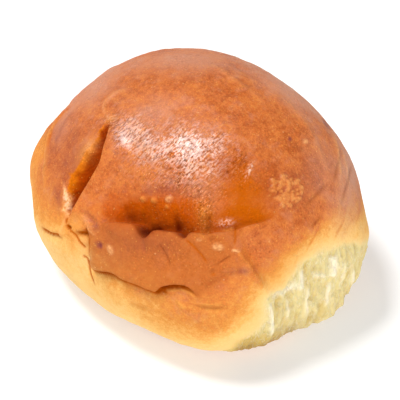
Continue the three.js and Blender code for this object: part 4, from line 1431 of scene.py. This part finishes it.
class NodeSheet:
    """A material's node tree, with short calls for the nodes that the finishes use."""

    def __init__(self, name: str) -> None:
        """Makes an empty node material.

        Args:
            name: Name of the material.
        """
        self.material = bpy.data.materials.new(name)
        self.material.use_nodes = True
        self.tree = self.material.node_tree
        self.tree.nodes.clear()

    def add(self, kind: str, **inputs: object) -> bpy.types.Node:
        """Adds a node.

        Args:
            kind: The node's type, without the ShaderNode prefix.
            **inputs: Values or sockets for its inputs, with spaces as underscores.

        Returns:
            The new node.
        """
        node = self.tree.nodes.new("ShaderNode" + kind)
        for key, value in inputs.items():
            self.feed(node.inputs[key.replace("_", " ")], value)
        return node

    def feed(self, socket: Socket, value: object) -> None:
        """Gives an input what it reads.

        Args:
            socket: The input.
            value: A socket to link into it, or the value to set.
        """
        if isinstance(value, bpy.types.NodeSocket):
            self.tree.links.new(value, socket)
        else:
            socket.default_value = value

    def finish(self, shader: bpy.types.Node) -> bpy.types.Material:
        """Puts a shader out on the material's surface.

        Args:
            shader: The shader's node.

        Returns:
            The material.
        """
        self.add("OutputMaterial", Surface=shader.outputs[0])
        return self.material

    def mask(self, name: str) -> Socket:
        """Reads one of the mesh's masks.

        Args:
            name: The mask's name.

        Returns:
            Its value over the surface.
        """
        node = self.tree.nodes.new("ShaderNodeAttribute")
        node.attribute_name = name
        return node.outputs["Fac"]

    def maths(self, operation: str, *values: object, clamp: bool = False) -> Socket:
        """Adds a maths node.

        Args:
            operation: The node's operation.
            *values: One to three numbers or sockets.
            clamp: Whether the result is kept between 0 and 1.

        Returns:
            The result.
        """
        node = self.tree.nodes.new("ShaderNodeMath")
        node.operation = operation
        node.use_clamp = clamp
        for socket, value in zip(node.inputs, values):
            self.feed(socket, value)
        return node.outputs[0]

    def plus(self, a: object, b: object, clamp: bool = False) -> Socket:
        """Sum of two values."""
        return self.maths("ADD", a, b, clamp=clamp)

    def minus(self, a: object, b: object) -> Socket:
        """Difference of two values."""
        return self.maths("SUBTRACT", a, b)

    def times(self, a: object, b: object, clamp: bool = False) -> Socket:
        """Product of two values."""
        return self.maths("MULTIPLY", a, b, clamp=clamp)

    def total(self, *values: object) -> Socket:
        """Adds values up, one after another.

        Args:
            *values: Two or more numbers or sockets.

        Returns:
            Their sum.
        """
        result, *rest = values
        for value in rest:
            result = self.plus(result, value)
        return result

    def scaled(self, value: object, factor: float, offset: float) -> Socket:
        """A value times a factor, plus an offset."""
        return self.maths("MULTIPLY_ADD", value, factor, offset)

    def centred(self, noise: object, strength: float, middle: float = 0.0) -> Socket:
        """Noise of 0 to 1 spread about a middle value: noise * strength + middle - strength / 2."""
        return self.scaled(noise, strength, middle - strength / 2)

    def mix(self, share: object, a: object, b: object, blend: str = "MIX") -> Socket:
        """Mixes two colours.

        Args:
            share: How much of the second colour is taken, from 0 to 1.
            a: First colour.
            b: Second colour.
            blend: How the second is laid on the first.

        Returns:
            The mixed colour.
        """
        node = self.tree.nodes.new("ShaderNodeMix")
        node.data_type = "RGBA"
        node.blend_type = blend
        for socket, value in zip((node.inputs[0], *node.inputs[6:8]), (share, a, b)):
            self.feed(socket, value)
        return node.outputs[2]

    def blend(self, share: object, a: object, b: object) -> Socket:
        """Mixes two values.

        Args:
            share: How much of the second value is taken, from 0 to 1.
            a: First value.
            b: Second value.

        Returns:
            The mixed value.
        """
        node = self.tree.nodes.new("ShaderNodeMix")
        for socket, value in zip((node.inputs[0], *node.inputs[2:4]), (share, a, b)):
            self.feed(socket, value)
        return node.outputs[0]

    def ramp(self, value: object, stops: tuple[tuple[float, Colour], ...]) -> Socket:
        """Colours a value.

        Args:
            value: Place along the row of stops, from 0 to 1.
            stops: Place and colour of each stop.

        Returns:
            The colour there, blended between the stops on both sides.
        """
        node = self.tree.nodes.new("ShaderNodeValToRGB")
        elements = node.color_ramp.elements
        while len(elements) < len(stops):
            elements.new(0.5)
        for element, (position, colour) in zip(elements, stops):
            element.position = position
            element.color = colour
        self.feed(node.inputs[0], value)
        return node.outputs[0]

    def step(self, value: object, low: float, high: float) -> Socket:
        """Makes a soft threshold.

        Args:
            value: What is compared.
            low: Value at and below which the result is 0.
            high: Value at and above which it is 1.

        Returns:
            The smooth rise from 0 to 1.
        """
        node = self.tree.nodes.new("ShaderNodeMapRange")
        node.interpolation_type = "SMOOTHSTEP"
        for socket, number in zip(node.inputs, (value, low, high)):
            self.feed(socket, number)
        return node.outputs[0]

    def drawn_out(self, place: object, axes: tuple, stretch: tuple[float, float, float]) -> Socket:
        """Turns a place to three axes and scales it along them.

        Args:
            place: The place in millimetres.
            axes: Three unit vectors at right angles.
            stretch: Scale along each. A pattern is drawn out where it is below 1.

        Returns:
            The new place.
        """
        turned = self.add("Mapping", Vector=place, Rotation=Matrix(axes).to_euler())
        return self.add("Mapping", Vector=turned.outputs[0], Scale=stretch).outputs[0]

    def noise(
        self, place: object, size: float, detail: float, rough: float = 0.5, swirl: float = 0.0
    ) -> Socket:
        """Adds noise.

        Args:
            place: The place that it is read at.
            size: Rough size of its features, in millimetres.
            detail: Number of finer octaves.
            rough: Strength of each octave beside the one before.
            swirl: How far it is distorted.

        Returns:
            Its value, from 0 to 1.
        """
        node = self.add("TexNoise", Vector=place, Scale=1.0 / size, Detail=detail, Roughness=rough)
        node.inputs["Distortion"].default_value = swirl
        return node.outputs[0]

    def off_middle(self, noise: object, width: float) -> Socket:
        """0 on the winding lines where noise is 0.5, rising to 1 where it is `width` away from that."""
        return self.step(self.maths("ABSOLUTE", self.minus(noise, 0.5)), 0.0, width)

    def specks(self, place: object, specks: Specks) -> Socket:
        """Scatters soft dots.

        Args:
            place: The place that they are read at.
            specks: Their size and number.

        Returns:
            1 in each dot's middle, falling to 0 round it.
        """
        node = self.add("TexVoronoi", Vector=place, Scale=1.0 / specks.size)
        dot = self.minus(1.0, self.step(node.outputs["Distance"], specks.radius * 0.5, specks.radius))
        return self.times(dot, self.step(node.outputs["Color"], specks.share, specks.share + 0.04))


class CrustMaterial:
    """The roll's material: browned egg-washed crust that gives way to matt torn crumb."""

    def __init__(self, finish: CrustFinish, plane: SketchPlane) -> None:
        """Lays out the patterns that several parts of the material share.

        Args:
            finish: Colours, mottling and gloss.
            plane: The plane whose directions the brushed and streaked patterns follow.
        """
        self.finish = finish
        self.sheet = sheet = NodeSheet("baked_crust_and_crumb")
        metres = sheet.add("TexCoord").outputs["Object"]
        self.place = sheet.add("Mapping", Vector=metres, Scale=(1 / METRE,) * 3).outputs[0]
        slant = (plane.right + plane.up) / math.sqrt(2)
        slanted = (slant, np.cross(plane.normal, slant), plane.normal)
        self.brushed = sheet.drawn_out(self.place, slanted, finish.brush_stretch)
        upright = (plane.right, plane.up, plane.normal)
        self.streaky = sheet.drawn_out(self.place, upright, finish.streak_stretch)
        self.mottles = [
            sheet.noise(self.place, mottle.size, mottle.detail, mottle.rough, mottle.swirl)
            for mottle in finish.mottling
        ]
        self.broad, self.middling, self.fine, _ = self.mottles
        self.bake, self.crumb, self.painted_glitter = (sheet.mask(name) for name in ("bake", "crumb", "painted_glitter"))
        self.wrinkled = sheet.noise(self.brushed, 0.45, 2.0, 0.6)
        self.grain = sheet.plus(self.fine, self.wrinkled)
        # the dried wash is crazed: smooth plates, parted by winding lines
        self.smooth = sheet.off_middle(sheet.noise(self.brushed, 1.1, 3.0), 0.09)
        self.crazing = sheet.times(sheet.minus(self.smooth, 1.0), self.painted_glitter)
        self.pale_specks = sheet.specks(self.place, finish.pale_specks)
        self.small_specks = sheet.specks(self.place, finish.small_specks)
        self.dark_specks = sheet.specks(self.place, finish.dark_specks)
        pulled = sheet.add("Mapping", Vector=self.place, Scale=finish.thread_stretch).outputs[0]
        self.threads = sheet.minus(1.0, sheet.off_middle(sheet.noise(pulled, 0.9, 2.0), 0.045))

    def _browned(self) -> Socket:
        """Colours the crust by how far it is baked.

        Returns:
            The browning, mottled at four scales and rosy in patches.
        """
        sheet, finish = self.sheet, self.finish
        spread = [sheet.centred(noise, each.strength) for noise, each in zip(self.mottles, finish.mottling)]
        mottle = sheet.times(sheet.total(*spread), sheet.scaled(self.bake, 0.65, 0.35))
        colour = sheet.ramp(sheet.plus(self.bake, mottle, True), finish.browning)
        # painted reflection: pinkish blotches where the gloss would mirror the white surroundings
        blotches = sheet.step(sheet.noise(self.place, 3.6, 3.0, 0.6, 0.4), 0.5, 0.72)
        blotches = sheet.times(blotches, sheet.step(self.bake, 0.2, 0.6))
        rosy = sheet.plus(sheet.times(blotches, 0.22), sheet.mask("rosy"), True)
        return sheet.mix(rosy, colour, finish.rosy)

    def _stained(self, colour: Socket) -> Socket:
        """Adds the apron's even tan, the trench's dark colour with its streaks, partly dark wash and partly
        painted shade, and the mauve bloom, with painted shade in the gaps of the crackle patch.

        Args:
            colour: The colour so far.

        Returns:
            The new colour.
        """
        sheet, finish = self.sheet, self.finish
        flap = sheet.times(sheet.mask("flap"), sheet.centred(self.middling, 0.5, 0.7), True)
        colour = sheet.mix(flap, colour, finish.flap)
        streaks = sheet.noise(self.streaky, 0.8, 3.0, 0.6)
        uneven = sheet.centred(streaks, 1.6, 1.05)
        deep = sheet.mask("deep")
        colour = sheet.mix(sheet.times(deep, uneven, True), colour, finish.deep)
        dark_streaks = sheet.times(deep, sheet.step(streaks, 0.48, 0.68), True)
        colour = sheet.mix(sheet.times(dark_streaks, 0.55), colour, finish.amber)
        return sheet.mix(sheet.times(sheet.mask("plum"), uneven, True), colour, finish.plum)

    def _split_open(self, colour: Socket) -> Socket:
        """Adds the open split: golden at its border, darker brown towards the lip as painted shade under
        the overhanging lip.

        Args:
            colour: The colour so far.

        Returns:
            The new colour.
        """
        sheet, finish = self.sheet, self.finish
        sunk = sheet.plus(sheet.mask("wall"), sheet.centred(self.middling, 0.5))
        inside = sheet.mix(sheet.step(sunk, 0.0, 0.72), finish.split_edge, finish.split_shaded_floor)
        return sheet.mix(sheet.mask("split"), colour, inside)

    def _specked(self, colour: Socket) -> Socket:
        """Adds specks the size of a pinprick, then the golden, cream and warm orange-brown marks, the last
        partly clear wash and partly painted shade in creases.

        Args:
            colour: The colour so far.

        Returns:
            The new colour.
        """
        sheet, finish = self.sheet, self.finish
        colour = sheet.mix(sheet.times(self.pale_specks, 0.4), colour, finish.pale)
        colour = sheet.mix(sheet.times(self.small_specks, 0.4), colour, finish.gold)
        colour = sheet.mix(sheet.times(self.dark_specks, 0.35), colour, finish.deep)
        patchy = sheet.centred(self.fine, 2.4, 0.95)
        colour = sheet.mix(sheet.times(sheet.mask("gold"), patchy, True), colour, finish.gold)
        colour = sheet.mix(sheet.times(sheet.mask("pale"), patchy, True), colour, finish.pale)
        return sheet.mix(sheet.mask("amber"), colour, finish.amber)

    def _washed(self, colour: Socket) -> Socket:
        """Adds painted light and shade of the dried wash: mottled painted shade for its tiny relief, darker
        where the highlight breaks up, dark crazing lines, painted glints and painted sparks.

        Args:
            colour: The colour so far.

        Returns:
            The new colour.
        """
        sheet, finish = self.sheet, self.finish
        # painted shading: fine light and dark mottling in place of the shading of tiny relief, with
        # highlight grain where the shine breaks up
        dappled = sheet.centred(sheet.noise(self.place, 0.48, 1.0), 1.8)
        shade = sheet.plus(sheet.centred(self.fine, 1.0), dappled)
        rougher = sheet.centred(sheet.step(self.broad, 0.40, 0.62), 0.36, 0.27)
        shade = sheet.times(shade, sheet.times(self.bake, rougher))
        fine_streaks = sheet.centred(sheet.noise(self.brushed, 0.28, 1.0), 1.3)
        highlight_grain = sheet.plus(sheet.centred(self.wrinkled, 1.3), fine_streaks)
        shade = sheet.total(shade, sheet.times(highlight_grain, self.painted_glitter), sheet.times(self.crazing, 0.35))
        colour = sheet.mix(1.0, colour, sheet.plus(shade, 1.0), "MULTIPLY")
        # painted glints on the grain
        glints = sheet.times(sheet.mask("sheen"), sheet.step(self.grain, 0.85, 1.15), True)
        colour = sheet.mix(glints, colour, finish.sheen)
        # painted sparks of highlight
        painted_sparks = sheet.specks(self.place, finish.painted_sparks)
        painted_sparks = sheet.plus(painted_sparks, sheet.specks(self.brushed, finish.painted_brushed_sparks))
        painted_sparkle = sheet.times(sheet.times(painted_sparks, self.painted_glitter), 0.7, True)
        return sheet.mix(painted_sparkle, colour, finish.painted_sparkle)

    def _torn(self, colour: Socket) -> Socket:
        """Adds the stretched skin beside the torn end, the crumb with its threads, and the dark brown tint:
        scorched spots, and painted shade in hollows, under lips and along the crumb's lower edge.

        Args:
            colour: The colour so far.

        Returns:
            The new colour.
        """
        sheet, finish = self.sheet, self.finish
        crumb_noise = sheet.noise(self.place, 1.6, 4.0, 0.65)
        lightness = sheet.plus(sheet.times(sheet.mask("strand"), 0.7), sheet.times(crumb_noise, 0.6))
        crumb = sheet.mix(sheet.step(lightness, 0.35, 0.95), finish.crumb_low, finish.crumb_high)
        shreds = sheet.plus(sheet.mask("shred"), sheet.times(self.threads, 0.35), True)
        crumb = sheet.mix(shreds, crumb, finish.shred)
        colour = sheet.mix(sheet.mask("stretched"), colour, finish.stretched)
        colour = sheet.mix(self.crumb, colour, crumb)
        return sheet.mix(sheet.mask("caramel"), colour, finish.caramel)

    def _gloss(self) -> tuple[Socket, Socket]:
        """Works out the shine of the egg wash, thick on the crown and patchy.

        Returns:
            Roughness, and how much of the clear coat is there: its flecks follow the grain.
        """
        sheet, finish = self.sheet, self.finish
        gloss = sheet.mask("gloss")
        wash = sheet.times(sheet.mask("wash"), sheet.centred(self.broad, 1.2, 1.0), True)
        grain = sheet.plus(self.grain, sheet.times(wash, 0.35))
        flecks = sheet.times(sheet.step(grain, 1.02, 1.28), sheet.centred(self.smooth, 0.7, 0.75))
        glaze = sheet.times(gloss, sheet.centred(self.middling, 0.5, 0.3))
        coat = sheet.plus(glaze, sheet.times(wash, flecks), True)
        shine = sheet.plus(gloss, wash, True)
        span = finish.gloss_roughness - finish.matt_roughness
        return sheet.scaled(shine, span, finish.matt_roughness), coat

    def _relief(self) -> Socket:
        """Works out the finest relief.

        Returns:
            The normal, bumped by wrinkles, crazing and specks on the crust, and by pores and
            threads on the crumb. Heights are in millimetres.
        """
        sheet = self.sheet
        crust = sheet.total(
            sheet.centred(self.wrinkled, 0.16),
            sheet.centred(self.fine, 0.16),
            sheet.centred(self.middling, 0.18),
            sheet.times(self.crazing, 0.12),
            sheet.times(self.pale_specks, 0.12),
            sheet.times(self.small_specks, 0.06),
            sheet.times(self.dark_specks, -0.08),
        )
        pores = sheet.noise(self.place, 0.9, 5.0, 0.7)
        crumb = sheet.plus(sheet.times(pores, 0.3), sheet.times(self.threads, 0.12))
        height = sheet.blend(self.crumb, crust, crumb)
        return sheet.add("Bump", Strength=1.0, Distance=METRE, Height=height).outputs[0]

    def build(self) -> bpy.types.Material:
        """Lays the parts over one another and puts them into one shader.

        Returns:
            The material.
        """
        colour = self._browned()
        for layer in (self._stained, self._split_open, self._specked, self._washed, self._torn):
            colour = layer(colour)
        roughness, coat = self._gloss()
        finish = self.finish
        shader = self.sheet.add(
            "BsdfPrincipled",
            Base_Color=colour,
            Roughness=roughness,
            Normal=self._relief(),
            Coat_Weight=coat,
            Coat_Roughness=finish.coat_roughness,
            Coat_IOR=finish.coat_ior,
            IOR=finish.ior,
            Specular_IOR_Level=finish.specular_level,
            Sheen_Weight=finish.fuzz,
            Sheen_Roughness=finish.fuzz_roughness,
            Sheen_Tint=finish.fuzz_tint,
            Subsurface_Weight=finish.glow_through,
            Subsurface_Radius=finish.glow_colour,
            Subsurface_Scale=finish.glow_reach * METRE,
        )
        return self.sheet.finish(shader)


# ---- assemblies ------------------------------------------------------------------------------


@dataclass(frozen=True)
class BreadRoll:
    """The roll itself: one closed skin in place of the plain solid."""

    shaper: RollShaper = RollShaper()
    finish: CrustFinish = CrustFinish()
    node: str = "bread_roll"
    slot: str = "crust"

    def build(self) -> bpy.types.Object:
        """Puts the skin into a mesh, dresses it and sets it in place of the solid.

        Returns:
            The roll's object.
        """
        skin = self.shaper.shape()
        mesh = bpy.data.meshes.new("roll_skin")
        mesh.vertices.add(len(skin.points))
        mesh.vertices.foreach_set("co", (skin.points * METRE).ravel())
        mesh.loops.add(skin.quads.size)
        mesh.loops.foreach_set("vertex_index", skin.quads.ravel())
        mesh.polygons.add(len(skin.quads))
        mesh.polygons.foreach_set("loop_start", np.arange(0, skin.quads.size, 4))
        mesh.update(calc_edges=True)
        mesh.shade_smooth()
        for name, values in skin.masks.items():
            layer = mesh.attributes.new(name, "FLOAT", "POINT")
            layer.data.foreach_set("value", values.astype(np.float32))
        mesh.materials.append(CrustMaterial(self.finish, self.shaper.plane).build())
        roll = bpy.data.objects.new("roll_skin", mesh)
        bpy.context.scene.collection.objects.link(roll)
        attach(roll, "root")
        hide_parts(self.node)
        LOG.info("roll_skin: %d points, %d quads", len(skin.points), len(skin.quads))
        return roll


ROLL_MIDDLE = (0.0, 0.0, 0.03)  # metres


@dataclass(frozen=True)
class Lamp:
    """A round soft lamp that faces the roll from `way`. Distance and size are in metres."""

    name: str
    way: tuple[float, float, float]
    distance: float
    size: float
    power: float
    mirrored: bool = True  # whether glossy surfaces show its reflection

    def build(self) -> None:
        """Sets the lamp up, facing the middle of the roll."""
        light = bpy.data.lights.new(self.name, "AREA")
        light.shape = "DISK"
        light.size = self.size
        light.energy = self.power
        lamp = bpy.data.objects.new(self.name, light)
        way = Vector(self.way).normalized()
        lamp.location = Vector(ROLL_MIDDLE) + way * self.distance
        lamp.rotation_euler = (-way).to_track_quat("-Z", "Y").to_euler()
        lamp.visible_glossy = self.mirrored
        bpy.context.scene.collection.objects.link(lamp)


@dataclass(frozen=True)
class Studio:
    """The floor, the soft light and the camera."""

    plane: SketchPlane = SketchPlane()
    target: tuple[float, float, float] = (0.0, 0.0, 25.0)
    aim: Point2 = (1.22, -1.51)  # how far the camera is shifted from the target: right and up
    distance: float = 430.0
    frame_width: float = 104.0  # what the camera takes in at the target
    sensor: float = 36.0
    lamps: tuple[Lamp, ...] = (
        Lamp("key", (-0.24, -0.20, 0.93), 0.9, 0.25, 7.6),
        Lamp("left", (-0.775, -0.11, 0.62), 1.1, 0.6, 2.1),
        Lamp("side", (0.93, -0.25, 0.25), 1.1, 0.9, 8.0, mirrored=False),
        Lamp("front", (0.30, -0.85, 0.40), 1.2, 1.0, 3.0, mirrored=False),
    )
    floor_width: float = 6.0  # metres
    floor_colour: Colour = (0.62, 0.62, 0.62, 1)
    floor_roughness: float = 0.8
    floor_glow: float = 0.38
    surround: Point2 = (0.95, 0.22)  # strength at the horizon and overhead
    ceiling_from: Point2 = (0.05, 0.55)  # heights of the view direction between which it dims

    def build(self) -> None:
        """Sets up the floor, the lights and the camera."""
        self._floor()
        self._surround()
        for lamp in self.lamps:
            lamp.build()
        self._camera()

    def _floor(self) -> None:
        """A plain pale floor, flat at Z = 0, wide enough for any view."""
        mesh = bpy.data.meshes.new("floor")
        half = self.floor_width / 2
        corners = [(-half, -half, 0), (half, -half, 0), (half, half, 0), (-half, half, 0)]
        mesh.from_pydata(corners, [], [(0, 1, 2, 3)])
        sheet = NodeSheet("pale_floor")
        shader = sheet.add(
            "BsdfPrincipled",
            Base_Color=self.floor_colour,
            Roughness=self.floor_roughness,
            Emission_Color=(1.0, 1.0, 1.0, 1),
            Emission_Strength=self.floor_glow,
        )
        mesh.materials.append(sheet.finish(shader))
        floor = bpy.data.objects.new("floor", mesh)
        bpy.context.scene.collection.objects.link(floor)

    def _surround(self) -> None:
        """A surround that is white round the horizon and dims towards the ceiling."""
        world = bpy.data.worlds.new("studio")
        world.use_nodes = True
        nodes, links = world.node_tree.nodes, world.node_tree.links
        way = nodes.new("ShaderNodeTexCoord").outputs["Generated"]
        split = nodes.new("ShaderNodeSeparateXYZ")
        links.new(way, split.inputs[0])
        fade = nodes.new("ShaderNodeMapRange")
        fade.interpolation_type = "SMOOTHSTEP"
        links.new(split.outputs["Z"], fade.inputs[0])
        for socket, value in zip(fade.inputs[1:5], (*self.ceiling_from, *self.surround)):
            socket.default_value = value
        background = nodes["Background"]
        background.inputs["Color"].default_value = (1.0, 1.0, 1.0, 1)
        links.new(fade.outputs[0], background.inputs["Strength"])
        bpy.context.scene.world = world

    def _camera(self) -> None:
        """The camera, along the sketch plane's normal, a little off the target to frame the roll."""
        lens = bpy.data.cameras.new("camera")
        lens.sensor_width = self.sensor
        lens.lens = self.sensor * self.distance / self.frame_width
        camera = bpy.data.objects.new("camera", lens)
        right, up, back = self.plane.right, self.plane.up, self.plane.normal
        eye = np.array(self.target) + self.aim[0] * right + self.aim[1] * up + self.distance * back
        turn = Matrix((right, up, back)).transposed().to_4x4()
        camera.matrix_world = Matrix.Translation(Vector(eye * METRE)) @ turn
        lens.clip_start, lens.clip_end = 0.01, 20.0
        bpy.context.scene.collection.objects.link(camera)
        bpy.context.scene.camera = camera


def main() -> None:
    """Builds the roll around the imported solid, then the studio."""
    logging.basicConfig(level=logging.INFO, format="%(name)s: %(message)s")
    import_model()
    bpy.context.scene.view_settings.view_transform = "Standard"
    BreadRoll().build()
    Studio().build()


if __name__ == "__main__":
    main()
